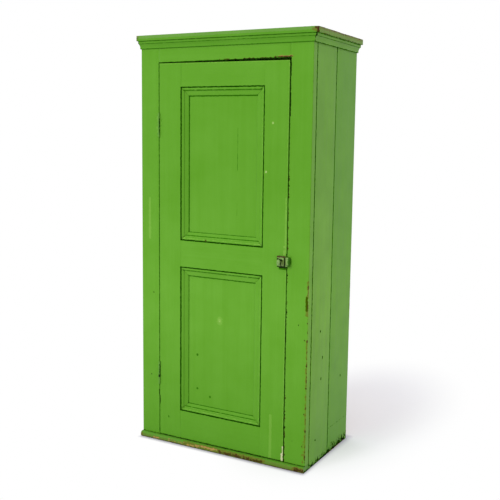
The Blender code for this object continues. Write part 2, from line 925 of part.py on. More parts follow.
def build_latch_keeper():
    """Block on the frame's stile, slotted to take the bolt."""
    left = opening_right + joint_gap
    keeper = box(
        "latch_keeper",
        (left, front - joint_gap - keeper_depth, latch_height - keeper_height / 2),
        (left + keeper_width, front - joint_gap, latch_height + keeper_height / 2),
        painted_iron,
    )
    bevel(keeper, keeper_bevel)
    slot_half = bolt_height / 2 + keeper_slot_clearance
    slot = box_mesh(
        "latch_keeper_slot",
        (left - cut_overrun, bolt_front() - keeper_slot_clearance, latch_height - slot_half),
        (left + keeper_slot_length, front + cut_overrun, latch_height + slot_half),
    )
    cut(keeper, slot)


def build():
    clear_scene()
    build_sill()
    build_carcass_boards()
    build_sides()
    build_back()
    left_stile = build_frame_stile("frame_stile_left", -half_width, opening_left, -1)
    build_frame_stile("frame_stile_right", half_width, opening_right, 1)
    build_frame_rail()
    build_cornice()
    build_shelves()
    hinge_stile = build_door()
    build_hinges(left_stile, hinge_stile)
    build_latch_case()
    build_latch_bolt()
    build_latch_knob()
    build_latch_keeper()


build()
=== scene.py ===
import json
import math

import bmesh
import bpy
import numpy as np
from mathutils import Matrix, Vector, noise


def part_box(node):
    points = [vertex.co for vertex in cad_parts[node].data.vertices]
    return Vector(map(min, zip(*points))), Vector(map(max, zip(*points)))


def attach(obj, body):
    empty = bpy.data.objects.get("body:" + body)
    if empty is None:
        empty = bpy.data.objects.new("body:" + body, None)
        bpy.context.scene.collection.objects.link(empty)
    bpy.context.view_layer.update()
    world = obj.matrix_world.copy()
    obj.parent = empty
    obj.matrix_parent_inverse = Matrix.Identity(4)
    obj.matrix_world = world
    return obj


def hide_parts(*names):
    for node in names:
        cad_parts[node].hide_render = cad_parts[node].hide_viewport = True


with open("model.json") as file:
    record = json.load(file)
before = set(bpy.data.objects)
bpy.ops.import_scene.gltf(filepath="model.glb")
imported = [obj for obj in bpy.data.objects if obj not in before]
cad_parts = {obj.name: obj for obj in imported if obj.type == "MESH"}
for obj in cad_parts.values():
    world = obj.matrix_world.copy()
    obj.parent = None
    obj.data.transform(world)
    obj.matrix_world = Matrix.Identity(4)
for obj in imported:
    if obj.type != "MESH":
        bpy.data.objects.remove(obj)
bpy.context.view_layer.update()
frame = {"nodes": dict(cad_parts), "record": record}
print("frame loaded:", len(frame["nodes"]), "nodes")


# Colours and nodes

def linear(hexColour):
    channels = [int(hexColour[at:at + 2], 16) / 255 for at in (1, 3, 5)]
    toned = [c / 12.92 if c <= 0.04045 else ((c + 0.055) / 1.055) ** 2.4 for c in channels]
    return (*toned, 1.0)


def setInputs(tree, node, inputs):
    # inputs go by name or in the node's order; each takes a value, a hex colour, a socket, or a node,
    # which stands for its first live output
    for name, value in inputs.items() if isinstance(inputs, dict) else enumerate(inputs):
        if isinstance(value, bpy.types.Node):
            value = next(socket for socket in value.outputs if socket.enabled)
        if isinstance(value, bpy.types.NodeSocket):
            tree.links.new(value, node.inputs[name])
        else:
            node.inputs[name].default_value = linear(value) if isinstance(value, str) else value


def addNode(tree, kind, inputs=(), **settings):
    # a Mix node's two colours are its inputs 6 and 7, and its two plain values 2 and 3
    node = tree.nodes.new("ShaderNode" + kind)
    for name, value in settings.items():
        setattr(node, name, value)
    setInputs(tree, node, inputs)
    return node


def layColours(tree, colour, *layers):
    # lays colours over one another, each as strongly as its mask says
    for mask, over in layers:
        colour = addNode(tree, "Mix", {0: mask, 6: colour, 7: over}, data_type="RGBA")
    return colour


# Camera, floor and light

cameraSetup = {
    "place": (1.7282, -3.0148, 1.3723),
    "turn": 0.4842,  # from the wall's direction towards the left, radians
    "tilt": 0.1288,  # downwards
    "roll": 0.0168,
    "lens": 56.30,
    "sensor": 36.0,
    "shift": (-0.0505, -0.0214),
}
paperFloor = {
    "size": 40.0,
    "seen": "#FAFAFF",  # as the camera sees it
    "plain": "#CACACA",  # as it lights the cupboard
    "shadowMiddle": (0.30, 0.60, 0.0),
    "shadowShape": (2.0, 1.0, 1.0),  # narrower across than along
    "shadowFade": (0.30, 1.10),  # distances from its middle between which the paper turns white
    "footprint": (0.4135, 0.2395, 0.0),
    "contactFade": (0.0, 0.018, 0.30),  # the shadow is kept close to the cupboard
    "paintedContactShadow": "#D0CEDC",  # and a painted shadow darkens the paper there
    "contactReach": 0.030,
}
studioLight = {
    "skyStrength": 0.93,  # what lights the cupboard
    "seenSkyStrength": 1.0,  # white behind it
    "skyColour": "#FFFFFF",
    "keyPlace": (-2.6, -6.6, 3.9),
    "keyAim": (0.0, 0.0, 0.7),
    "keySize": 2.2,
    "keyPower": 180.0,
}


def placeCamera():
    turn, tilt, roll = (cameraSetup[name] for name in ("turn", "tilt", "roll"))
    ahead = Vector((-math.sin(turn) * math.cos(tilt), math.cos(turn) * math.cos(tilt), -math.sin(tilt)))
    across = Vector((math.cos(turn), math.sin(turn), 0))
    upwards = across.cross(ahead)
    right = math.cos(roll) * across + math.sin(roll) * upwards
    top = math.cos(roll) * upwards - math.sin(roll) * across
    lensData = bpy.data.cameras.new("photo_camera")
    lensData.lens = cameraSetup["lens"]
    lensData.sensor_width = cameraSetup["sensor"]
    lensData.shift_x, lensData.shift_y = cameraSetup["shift"]
    camera = bpy.data.objects.new("photo_camera", lensData)
    bpy.context.scene.collection.objects.link(camera)
    stand = Matrix((right, top, -ahead)).transposed().to_4x4()
    camera.matrix_world = Matrix.Translation(cameraSetup["place"]) @ stand
    bpy.context.scene.camera = camera


def seenRays(tree):
    # 1 for what the camera sees, straight or mirrored
    rays = addNode(tree, "LightPath")
    mirrored = addNode(tree, "Math", [
        rays.outputs["Is Glossy Ray"], rays.outputs["Is Transmission Ray"]], operation="MAXIMUM")
    return addNode(tree, "Math", [rays.outputs["Is Camera Ray"], mirrored], operation="MAXIMUM")


def makeFloor():
    bm = bmesh.new()
    bmesh.ops.create_grid(bm, x_segments=1, y_segments=1, size=paperFloor["size"] / 2)
    mesh = bpy.data.meshes.new("paper_floor")
    bm.to_mesh(mesh)
    bm.free()
    floor = bpy.data.objects.new("paper_floor", mesh)
    bpy.context.scene.collection.objects.link(floor)
    material = bpy.data.materials.new("white_paper")
    material.use_nodes = True
    tree = material.node_tree
    tree.nodes.clear()

    # the paper is plain white, but for the cupboard's shadow on it
    place = addNode(tree, "TexCoord").outputs["Object"]
    moved = addNode(tree, "VectorMath", [place, paperFloor["shadowMiddle"]], operation="SUBTRACT")
    shaped = addNode(tree, "VectorMath", [moved, paperFloor["shadowShape"]], operation="MULTIPLY")
    away = addNode(tree, "VectorMath", [shaped], operation="LENGTH")
    whiter = addNode(tree, "MapRange", [away, *paperFloor["shadowFade"]], interpolation_type="SMOOTHSTEP")

    # how far each spot is from the cupboard's foot
    folded = addNode(tree, "VectorMath", [place], operation="ABSOLUTE")
    beyond = addNode(tree, "VectorMath", [folded, paperFloor["footprint"]], operation="SUBTRACT")
    outside = addNode(tree, "VectorMath", [beyond, (0, 0, 0)], operation="MAXIMUM")
    gap = addNode(tree, "VectorMath", [outside], operation="LENGTH")
    # painted contact shadow: close to the foot the paper's own colour is darkened
    lit = addNode(tree, "MapRange", [gap, 0.0, paperFloor["contactReach"]])
    tint = layColours(tree, paperFloor["paintedContactShadow"], (lit, paperFloor["seen"]))
    clear = addNode(tree, "MapRange", [gap, *paperFloor["contactFade"]], interpolation_type="SMOOTHSTEP")
    whiter = addNode(tree, "Math", [whiter, clear], operation="MULTIPLY")

    plain = addNode(tree, "BsdfDiffuse", [paperFloor["plain"]])
    paper = addNode(tree, "BsdfDiffuse", [tint])
    white = addNode(tree, "Emission", {"Strength": 1.0})
    fading = addNode(tree, "MixShader", [whiter, paper, white])
    either = addNode(tree, "MixShader", [seenRays(tree), plain, fading])
    addNode(tree, "OutputMaterial", [either])
    mesh.materials.append(material)


def lightScene():
    world = bpy.data.worlds.new("white_studio")
    bpy.context.scene.world = world
    world.use_nodes = True
    tree = world.node_tree
    tree.nodes.clear()
    lit, seen = (addNode(tree, "Background", [studioLight["skyColour"], studioLight[strength]])
                 for strength in ("skyStrength", "seenSkyStrength"))
    either = addNode(tree, "MixShader", [seenRays(tree), lit, seen])
    addNode(tree, "OutputWorld", [either])

    lampData = bpy.data.lights.new("softbox", "AREA")
    lampData.size = studioLight["keySize"]
    lampData.energy = studioLight["keyPower"]
    lamp = bpy.data.objects.new("softbox", lampData)
    bpy.context.scene.collection.objects.link(lamp)
    lamp.location = studioLight["keyPlace"]
    lamp.visible_glossy = False
    aim = Vector(studioLight["keyAim"]) - Vector(studioLight["keyPlace"])
    lamp.rotation_euler = aim.to_track_quat("-Z", "Y").to_euler()


bpy.context.scene.view_settings.view_transform = "Standard"
placeCamera()
makeFloor()
lightScene()
print("camera, floor and light placed")


# Marks on the paint

front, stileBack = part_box("frame_stile_right")[0].y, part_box("frame_stile_right")[1].y
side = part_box("side_right_front_board")[1].x
boardJoint = stileBack + 0.190  # between a side's two boards
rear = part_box("back_board_1")[1].y
panelFace = front + 0.011  # of the door's panels
openingLeft, openingRight = -0.321, 0.3145  # where the door's opening ends
doorLeft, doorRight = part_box("door_stile_hinge_side")[0].x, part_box("door_stile_latch_side")[1].x
sillLow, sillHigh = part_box("sill_board")
noseFront = sillLow.y
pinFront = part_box("hinge_upper_pin")[0].y
latchLow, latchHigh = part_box("latch_case")
latchFace = latchLow.y
keeperLow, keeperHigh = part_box("latch_keeper")
corniceLow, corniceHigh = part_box("cornice_front")
corniceFront, corniceTop, corniceFoot = corniceLow.y, corniceHigh.z, corniceLow.z

# what each kind of mark looks like: its colour and how much it hides; later kinds lie over earlier ones
markColours = {
    "faded": ("#8FC052", 0.30),  # rubbed paler by hands and feet
    "run": ("#8FC052", 0.55),  # thinner, paler paint, and painted highlights along the door's edges and the mouldings' rounds
    "dust": ("#A8A890", 0.12),  # greyed by dust
    "film": ("#6A5C2C", 0.34),  # thin brown dirt
    "shadeAndStain": ("#246600", 0.80),  # painted shade in joints and cracks, along the feet, under parts and on faces turned from the light; and stains round nails and dents
    "shade": ("#144400", 0.92),  # deeper in the joint
    "stain": ("#6B5A14", 0.60),
    "olive": ("#3A5600", 0.92),  # a dark stain on the paint
    "wood": ("#AD8E52", 0.95),
    "brown": ("#452F18", 0.92),  # undercoat and dirty wood
    "cream": ("#D2D0A8", 0.95),  # freshly exposed wood
    "dark": ("#0C2003", 0.94),  # dirt and painted shade in gaps and along the feet, and painted shadow beside and under the latch
}
# these have no shine
dullMarks = ("shadeAndStain", "shade", "olive", "wood", "brown", "cream", "dark")
# the pattern that breaks them: a line has its full width where the pattern reaches wholeAt
raggedLook = {"patternSize": 0.0110, "detail": 4.0, "roughness": 0.62, "wholeAt": 0.64, "softness": 0.0006}


# Each mark is a ragged line: its kind, start and end, half its width in metres, and how broken it is
# (-1 even, 0 unbroken, 0.6 a few specks). A spot is a very short line.
def upright(kind, x, y, low, high, half, broken):
    return kind, (x, y, low), (x, y, high), half, broken


def spot(kind, x, y, z, half, broken=0.2):
    return kind, (x, y, z - 0.001), (x, y, z + 0.001), half, broken


def across(kind, left, right, y, z, half, broken, rise=0.0):
    return kind, (left, y, z), (right, y, z + rise), half, broken


def inwards(kind, x, near, far, z, half, broken):
    return kind, (x, near, z), (x, far, z), half, broken


doorGapMarks = {
    "right": [
        upright("shadeAndStain", 0.3136, front, 0.03, 1.685, 0.0036, -0.2),
        upright("shade", 0.3138, front, 1.02, 1.685, 0.0032, 0.0),
        upright("shade", 0.3138, front, 0.03, 0.63, 0.0036, -0.1),
        upright("dark", 0.3150, front, 1.46, 1.685, 0.0050, 0.10),
        upright("dark", 0.3148, front, 1.02, 1.46, 0.0030, 0.42),
        upright("dark", 0.3140, front, 0.03, 0.63, 0.0040, 0.34),
        # painted highlight along the door's latch edge
        upright("run", doorRight - 0.0036, front, 0.03, 1.67, 0.0016, 0.34),
        *[spot("dark", 0.3160, front, z, 0.0062)
          for z in (1.1827, 0.819, 0.667, 0.647, 0.2322, 0.1792, 0.1345)],
        upright("brown", 0.3172, front, 0.60, 1.25, 0.0030, 0.50),
        upright("brown", 0.3168, front, 0.03, 0.32, 0.0042, 0.46),
        upright("cream", 0.3062, front, 0.030, 0.058, 0.0068, 0.15),
        upright("cream", 0.3085, front, 0.058, 0.090, 0.0040, 0.25),
    ],
    "top": [
        across("shadeAndStain", doorLeft, openingRight, front, 1.6840, 0.0040, 0.0, 0.004),
        across("dark", doorLeft, openingRight, front, 1.6836, 0.0026, -0.5, 0.0025),
        across("dark", 0.04, openingRight, front, 1.6868, 0.0030, 0.20),
        # painted highlight along the door's top edge
        across("run", doorLeft, doorRight, front, 1.6785, 0.0014, 0.36, -0.004),
        across("wood", 0.262, 0.322, front, 1.6925, 0.0050, 0.34),
        across("brown", 0.235, 0.322, front, 1.6915, 0.0044, 0.36),
        across("brown", -0.02, 0.24, front, 1.6895, 0.0034, 0.46),
    ],
    "foot": [
        across("shadeAndStain", doorLeft, openingRight, front, 0.0275, 0.0040, 0.15),
        across("dark", doorLeft, openingRight, front, 0.0270, 0.0034, 0.12),
    ],
    "left": [
        upright("shadeAndStain", -0.3198, front, 0.03, 1.68, 0.0034, 0.08),
        upright("shade", -0.3148, pinFront + 0.002, 1.412, 1.447, 0.0040, 0.0),
        upright("dark", -0.3146, pinFront + 0.003, 1.420, 1.447, 0.0034, 0.30),
        upright("shade", -0.3148, pinFront + 0.002, 1.376, 1.402, 0.0032, 0.05),
        upright("faded", -0.3290, front, 1.385, 1.455, 0.0060, 0.35),
        upright("shadeAndStain", -0.3075, front, 1.380, 1.460, 0.0030, 0.48),
        upright("shade", -0.3160, pinFront + 0.002, 0.305, 0.352, 0.0040, 0.25),
        spot("dark", -0.3165, pinFront, 0.299, 0.0080, 0.0),
        upright("dark", -0.3225, front, 0.205, 0.235, 0.0020, 0.30),
        upright("dark", -0.3163, front, 0.168, 0.205, 0.0022, 0.30),
    ],
}
frontMarks = {
    "rightCorner": [
        spot("stain", 0.4004, front, 0.0748, 0.0070),
        upright("stain", 0.4035, front, 0.03, 0.13, 0.0060, 0.50),
        upright("stain", side - 0.006, front, 0.665, 0.740, 0.0095, 0.20),
        upright("stain", side - 0.002, front, 0.740, 0.800, 0.0070, 0.30),
        upright("olive", side - 0.007, front, 0.684, 0.736, 0.0068, 0.05),
        upright("run", side, front + 0.005, 0.665, 0.770, 0.0062, 0.0),
        upright("stain", side - 0.003, front, 0.06, 0.56, 0.0060, 0.36),
        upright("wood", side, front, 0.655, 0.779, 0.0040, 0.48),
        upright("wood", side, front, 0.300, 0.560, 0.0026, 0.50),
        upright("brown", side - 0.001, front, 0.02, 0.80, 0.0036, 0.49),
        upright("brown", side, front, 0.80, 1.70, 0.0018, 0.56),
        *[spot("brown", x, front, z, 0.0030) for x, z in ((0.400, 0.560), (0.404, 0.250), (0.398, 0.110))],
        *[spot("brown", side - 0.001, front, z, 0.0065) for z in (0.4517, 0.3593, 0.1765)],
    ],
    "leftCorner": [
        upright("brown", -side, front, 0.02, 1.70, 0.0018, 0.57),
    ],
    "dents": [
        spot("brown", -0.0783, front + 0.002, 0.932, 0.0066),
        *[spot("dark", x, front, z, half)
          for x, z, half in ((0.353, 0.1256, 0.0026), (-0.3515, 0.6794, 0.0036),
                             (-0.365, 0.30, 0.0026), (0.372, 0.62, 0.0026))],
        *[spot("shadeAndStain", x, y, z, 0.0060, 0.10)
          for x, y, z in ((-0.1246, panelFace, 0.4227), (-0.1239, panelFace, 0.2686),
                          (-0.0579, panelFace, 0.2412), (-0.2708, front, 0.1152))],
    ],
    "paleSpots": [
        mark for x, y, z, core, coreBroken, halo, around in (
            (0.2395, front, 1.4318, 0.0030, 0.2, 0.0055, 0.0080),
            (0.211, front, 1.235, 0.0030, 0.2, 0.0055, 0.0080),
            (-0.0121, panelFace, 0.5874, 0.0030, 0.45, 0.0090, 0.0200))
        for mark in (spot("cream", x, y, z, core, coreBroken), spot("run", x, y, z, halo, 0.0),
                     spot("faded", x, y, z, around, 0.0))
    ],
    "cracks": [
        upright("shadeAndStain", doorLeft + 0.1128, front, 1.588, 1.676, 0.0011, 0.05),
        upright("shadeAndStain", 0.0700, panelFace, 1.2350, 1.4105, 0.0018, 0.05),
        upright("shadeAndStain", 0.0690, panelFace, 1.048, 1.098, 0.0012, 0.0),
    ],
    "paleStreaks": [
        upright("faded", 0.2495, front, 0.03, 0.215, 0.0080, -0.2),
        upright("faded", 0.2495, front, 0.05, 0.170, 0.0040, 0.0),
        upright("faded", -0.371, front, 0.925, 1.10, 0.0075, 0.0),
    ],
}
latchMarks = {
    "case": [
        across("film", 0.2975, 0.3070, latchFace, 0.872, 0.0140, -0.3),
        across("brown", latchLow.x + 0.002, latchHigh.x - 0.002, latchFace, latchHigh.z - 0.0020, 0.0064, 0.05),
        # painted shadow of the knob on the case above and beside it, and painted shade in the gap by the keeper and
        # along the case's lower edge
        across("dark", 0.2765, 0.2965, latchFace, 0.8860, 0.0066, -0.1, -0.005),
        upright("dark", 0.2915, latchFace, 0.859, 0.880, 0.0050, 0.0),
        upright("dark", 0.3096, latchFace, 0.858, 0.890, 0.0040, 0.0),
        across("dark", 0.2790, latchHigh.x, latchFace, latchLow.z, 0.0062, -0.3),
    ],
    "keeper": [
        # painted shade on the keeper's right side, which faces away from the light
        upright("shadeAndStain", keeperHigh.x, (keeperLow.y + front) / 2, keeperLow.z, keeperHigh.z, 0.0110, -0.4),
    ],
    "roundIt": [
        # painted shadow cast by the latch on the door below it
        across("dark", 0.2810, 0.3130, front, latchLow.z - 0.002, 0.0050, 0.0),
        across("shadeAndStain", 0.2810, 0.3130, front, latchLow.z - 0.008, 0.0060, -0.2),
        upright("dark", 0.3125, front, latchHigh.z, latchHigh.z + 0.008, 0.0050, 0.15),
        upright("faded", 0.3045, front, 0.903, 1.130, 0.0050, 0.20),
        upright("run", 0.2995, front, 0.903, 0.935, 0.0050, 0.30),
    ],
}
# the sides are seen at a slant, so their marks are wide
sideMarks = {
    "both": [
        mark for x in (side, -side) for mark in (
            inwards("shadeAndStain", x, front + 0.05, rear, 0.0, 0.0320, 0.38),
            inwards("dark", x, front + 0.05, rear, 0.0, 0.0270, 0.38),
            inwards("dark", x, 0.06, rear, 0.003, 0.0420, 0.40),
            inwards("dark", x, front, front + 0.06, 0.0, 0.0130, 0.34),
            inwards("brown", x, front + 0.08, rear, 0.006, 0.0100, 0.50),
            upright("shadeAndStain", x, stileBack, 0.0, corniceFoot, 0.0058, 0.05),
            upright("shade", x, stileBack, 0.0, corniceFoot, 0.0034, 0.25),
            upright("shadeAndStain", x, boardJoint, 0.0, corniceFoot, 0.0054, 0.05),
            upright("shade", x, boardJoint, 0.0, corniceFoot, 0.0028, 0.30),
            upright("brown", x, rear, 0.0, corniceFoot, 0.0040, 0.50),
            inwards("shadeAndStain", x, boardJoint, rear, 0.1145, 0.0022, 0.42))
    ],
    "right": [upright("brown", side, rear, 0.56, 0.745, 0.0090, 0.42)],
    "dents": [
        mark for y, z in ((-0.0944, 0.5724), (-0.0672, 0.4538), (-0.0773, 0.3647),
                          (0.1295, 0.3249), (-0.1234, 0.1086))
        for mark in (spot("shadeAndStain", side, y, z, 0.0085, 0.25), spot("dark", side, y, z, 0.0052),
                     spot("shadeAndStain", -side, y + 0.03, z + 0.04, 0.0070, 0.25),
                     spot("dark", -side, y + 0.03, z + 0.04, 0.0040))
    ],
}
sillMarks = {
    "nose": [
        across("stain", sillLow.x, sillHigh.x, noseFront, 0.0010, 0.0095, -0.4),
        across("stain", -0.17, 0.225, noseFront, 0.0150, 0.0150, 0.0),
        across("film", 0.24, sillHigh.x, noseFront, 0.0130, 0.0150, 0.0),
        across("film", sillLow.x, -0.17, noseFront, 0.0110, 0.0110, 0.1),
        across("wood", -0.115, -0.010, noseFront, 0.0180, 0.0080, 0.34),
        across("wood", -0.338, -0.315, noseFront, 0.0120, 0.0070, 0.36),
        across("wood", -0.26, 0.18, noseFront, 0.0130, 0.0085, 0.49),
        across("brown", -0.27, -0.19, noseFront, 0.0040, 0.0060, 0.20),
        across("brown", 0.01, 0.215, noseFront, 0.0120, 0.0130, 0.40),
        across("stain", 0.375, sillHigh.x, noseFront, 0.0120, 0.0160, -0.2),
        across("brown", 0.375, sillHigh.x, noseFront, 0.0120, 0.0140, 0.28),
        across("brown", sillLow.x, sillHigh.x, noseFront + 0.003, 0.0010, 0.0060, 0.10),
        across("dark", sillLow.x, sillHigh.x, noseFront + 0.008, 0.0005, 0.0060, 0.20),
        inwards("stain", sillLow.x, noseFront, front + 0.03, 0.012, 0.0160, 0.0),
    ],
    "joint": [
        across("dark", openingRight, side, front, 0.0262, 0.0028, 0.20),
        across("dark", -side, openingLeft, front, 0.0262, 0.0022, 0.26),
    ],
}
corniceMarks = {
    "returns": [
        mark for sign, edge, edgeBroken in ((1, corniceHigh.x, 0.42), (-1, corniceLow.x, 0.50))
        for overhang in [edge - sign * side]
        for mark in (
            inwards("film", edge, corniceFront, rear, corniceTop - 0.0110, 0.0150, -0.4),
            inwards("film", edge, -0.10, 0.08, corniceTop - 0.0110, 0.0130, 0.1),
            inwards("stain", edge, corniceFront, rear, corniceTop - 0.003, 0.0120, 0.38),
            inwards("wood", edge, corniceFront, rear, corniceTop, 0.0060, 0.46),
            inwards("brown", edge, corniceFront, rear, corniceTop, 0.0060, edgeBroken),
            inwards("brown", edge, corniceFront, rear, corniceTop - 0.0225, 0.0034, 0.48),
            # painted shade under the top board's overhang and along the cornice's step
            inwards("shadeAndStain", edge - overhang * 0.28, corniceFront, rear, corniceTop - 0.0235, 0.0036, 0.05),
            inwards("shadeAndStain", edge - overhang * 0.44, corniceFront, rear, corniceTop - 0.0340, 0.0026, 0.10),
            inwards("shadeAndStain", sign * (side + 0.004), front, rear, corniceFoot, 0.0040, 0.10),
            inwards("dark", sign * (side + 0.004), front, rear, corniceFoot, 0.0022, 0.30),
            upright("dark", edge, rear, corniceFoot, corniceTop, 0.0050, 0.34))
    ],
    "front": [
        across("dust", corniceLow.x, corniceHigh.x, corniceFront, corniceTop - 0.004, 0.0110, -0.2),
        # painted shade under the top board's overhang and along the cornice's step
        across("shadeAndStain", corniceLow.x, corniceHigh.x, corniceFront + 0.0045, corniceTop - 0.0235, 0.0030, 0.05),
        across("shadeAndStain", corniceLow.x, corniceHigh.x, corniceFront + 0.0070, corniceTop - 0.0340, 0.0022, 0.10),
        across("shadeAndStain", -side, side, front - 0.004, corniceFoot, 0.0034, 0.10),
        across("brown", corniceLow.x, corniceHigh.x, corniceFront, corniceTop, 0.0020, 0.53),
    ],
    "rightCorner": [
        upright("wood", corniceHigh.x, corniceFront, corniceTop - 0.010, corniceTop, 0.0110, 0.36),
        upright("brown", corniceHigh.x, corniceFront, corniceTop - 0.0225, corniceTop, 0.0130, 0.30),
        across("stain", corniceHigh.x - 0.020, corniceHigh.x, corniceFront, corniceTop - 0.010, 0.0110, 0.20),
        spot("brown", corniceHigh.x - 0.013, corniceFront, corniceTop - 0.006, 0.0050, 0.25),
        inwards("brown", corniceHigh.x, -0.03, 0.03, corniceTop, 0.0100, 0.40),
        inwards("brown", corniceHigh.x, -0.21, -0.17, corniceTop, 0.0060, 0.42),
    ],
    "leftCorner": [
        across("dark", corniceLow.x, corniceLow.x + 0.004, corniceFront, corniceTop - 0.010, 0.0036, 0.36),
        upright("brown", corniceLow.x, corniceFront, corniceTop - 0.0225, corniceTop, 0.0045, 0.42),
    ],
}
# the mitre's open joint runs down the fascia's step and then the cove: shares of the overhang and drops
# from the top at its upper and lower end
mitreSteps = ((0.64, 0.0225, 0.64, 0.034), (0.525, 0.034, 0.25, 0.056))
mitreHalves = {1: 0.0056, -1: 0.0026}
# where each edge of a panel's moulding is shaded: the share of its width and half the line's thickness,
# for the hollow in its middle, its inner edge and the light on its rounds
mouldingLines = {
    "left": {"outer": 0.0050, "middle": (0.45, 0.0010), "inner": (1.0, 0.0034), "light": ()},
    "right": {"outer": 0.0040, "middle": (0.43, 0.0018), "inner": (0.8, 0.0026), "light": (0.15,)},
    "top": {"outer": 0.0042, "middle": (0.33, 0.0040), "inner": (1.0, 0.0044), "light": ()},
    "bottom": {"outer": 0.0046, "middle": (0.59, 0.0038), "inner": (1.0, 0.0026), "light": (0.22, 0.47, 0.88)},
}
# how far each of these lies behind the front, and how broken they are
mouldingDepths = {"outer": 0.001, "middle": 0.004, "inner": 0.010, "light": 0.003}
mouldingBroken = -0.1


def mitreMarks():
    reach = front - corniceFront
    for sign, half in mitreHalves.items():
        edge = corniceHigh.x if sign > 0 else corniceLow.x
        overhang = edge - sign * side
        for upper, highDrop, lower, lowDrop in mitreSteps:
            start, end = (
                (sign * side + overhang * share, front - reach * share, corniceTop - drop)
                for share, drop in ((upper, highDrop), (lower, lowDrop)))
            yield "dark", start, end, half, 0.05


def mouldingMarks():
    for place in ("lower", "upper"):
        low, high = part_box(f"{place}_moulding_left")
        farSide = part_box(f"{place}_moulding_right")[1].x
        for edge, lines in mouldingLines.items():
            middleShare, middleHalf = lines["middle"]
            innerShare, innerHalf = lines["inner"]
            if place == "lower" and edge == "left":
                innerHalf *= 0.6
            # painted shade along the moulding's outer edge, its hollow and its inner edge
            strokes = [("shadeAndStain", 0.0, "outer", lines["outer"]), ("shade", 0.0, "outer", lines["outer"] * 0.8),
                       ("shadeAndStain", middleShare, "middle", middleHalf), ("shadeAndStain", innerShare, "inner", innerHalf)]
            # painted highlights on the moulding's rounds
            strokes += [("run", share, "light", 0.0030) for share in lines["light"]]
            for kind, share, line, half in strokes:
                inset = (high.x - low.x) * share
                y = front + mouldingDepths[line]
                left, right, bottom, top = low.x + inset, farSide - inset, low.z + inset, high.z - inset
                if edge in ("left", "right"):
                    yield upright(kind, left if edge == "left" else right, y, bottom, top, half, mouldingBroken)
                else:
                    yield across(kind, left, right, y, bottom if edge == "bottom" else top, half, mouldingBroken)


marks = [mark for piece in (doorGapMarks, frontMarks, latchMarks, sideMarks, sillMarks, corniceMarks)
         for group in piece.values() for mark in group]
marks += [*mitreMarks(), *mouldingMarks()]


def marksNear(node):
    # the marks that touch this node's box, by kind
    low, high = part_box(node)
    near = {kind: [] for kind in markColours}
    for kind, start, end, half, broken in marks:
        if all(min(start[axis], end[axis]) - half < high[axis] and max(start[axis], end[axis]) + half > low[axis]
               for axis in range(3)):
            near[kind].append((start, end, half, broken))
    return near


print(len(marks), "marks laid out")


# Finishes

# Alkyd gloss paint, brushed thickly on planed pine long ago: an even, saturated mid green with a
# soft shine, faint brush lines and grain, chipped to a brown undercoat and then to bare wood.
glossPaint = {
    "tones": {
        "front": ("#60A024", "#6AA932"),
        "shaded": ("#589620", "#629F2A"),
        # the sides' tone: painted light, a copy of the paint toned for how light falls on the sides
        "side": ("#659C1C", "#79B430"),
        "rear": ("#5A9808", "#6CAA1A"),
        "trim": ("#56951E", "#62A02C"),
        "sill": ("#5A8E2A", "#649638"),
    },
    "flankEdge": (side - 0.0012, side - 0.0006),  # where a corner post turns to its side
    "paintedShade": "#4C8A10",  # painted shade: the paint is darker towards the top and towards the floor
    "paintedShadeHeights": ((0.70, 1.20, 0.0, 0.32), (0.60, 0.05, 0.0, 0.42)),
    "undercoat": "#4A3216",
    "bareWood": ("#7E5C2C", "#B4955A"),
    # dirt and painted shade in inward corners
    "dirtAndShade": "#141E08",
    "shine": 0.13,  # weaker than fresh paint
    "marksShine": 0.0,
    "wornRoughness": 0.75,
    # each pattern: along the grain or not, size in metres, detail, roughness, distortion; each range: the
    # values that a pattern is spread between, and what they turn into where that isn't 0 and 1
    "patterns": {
        "brush": (True, 0.004, 3.0, 0.6, 0.0),  # real bristle lines are 1 mm apart, too fine to show
        "grainLines": (True, 0.007, 2.0, 0.55, 0.4),
        "streaks": (True, 0.022, 2.0, 0.5, 0.0),
        "mottle": (False, 0.13, 3.0, 0.55, 0.0),
        "flakes": (True, 0.0088, 1.0, 0.5, 0.0),
        "chips": (False, 0.0055, 4.0, 0.62, 0.0),
    },
    "toneMix": {"mottle": 0.5, "brush": 0.20, "streaks": 0.30},
    "toneRange": (0.34, 0.66),
    "rubMix": {"wear": 1.0, "flakes": 0.45, "chips": 0.75},
    "chipRange": (1.10, 1.16),
    "woodRange": (1.34, 1.52),
    "woodToneRange": (0.35, 0.65),
    "dirtAndShadeMix": {"dirtAndShade": 1.0, "chips": 0.6},
    "dirtAndShadeRange": (0.62, 1.1, 0.0, 0.94),
    "glossRange": (0.3, 0.7, 0.28, 0.40),
    "heightMix": {"mottle": 0.4, "grainLines": 0.06, "brush": 0.04, "chipped": -0.25},  # mm
}
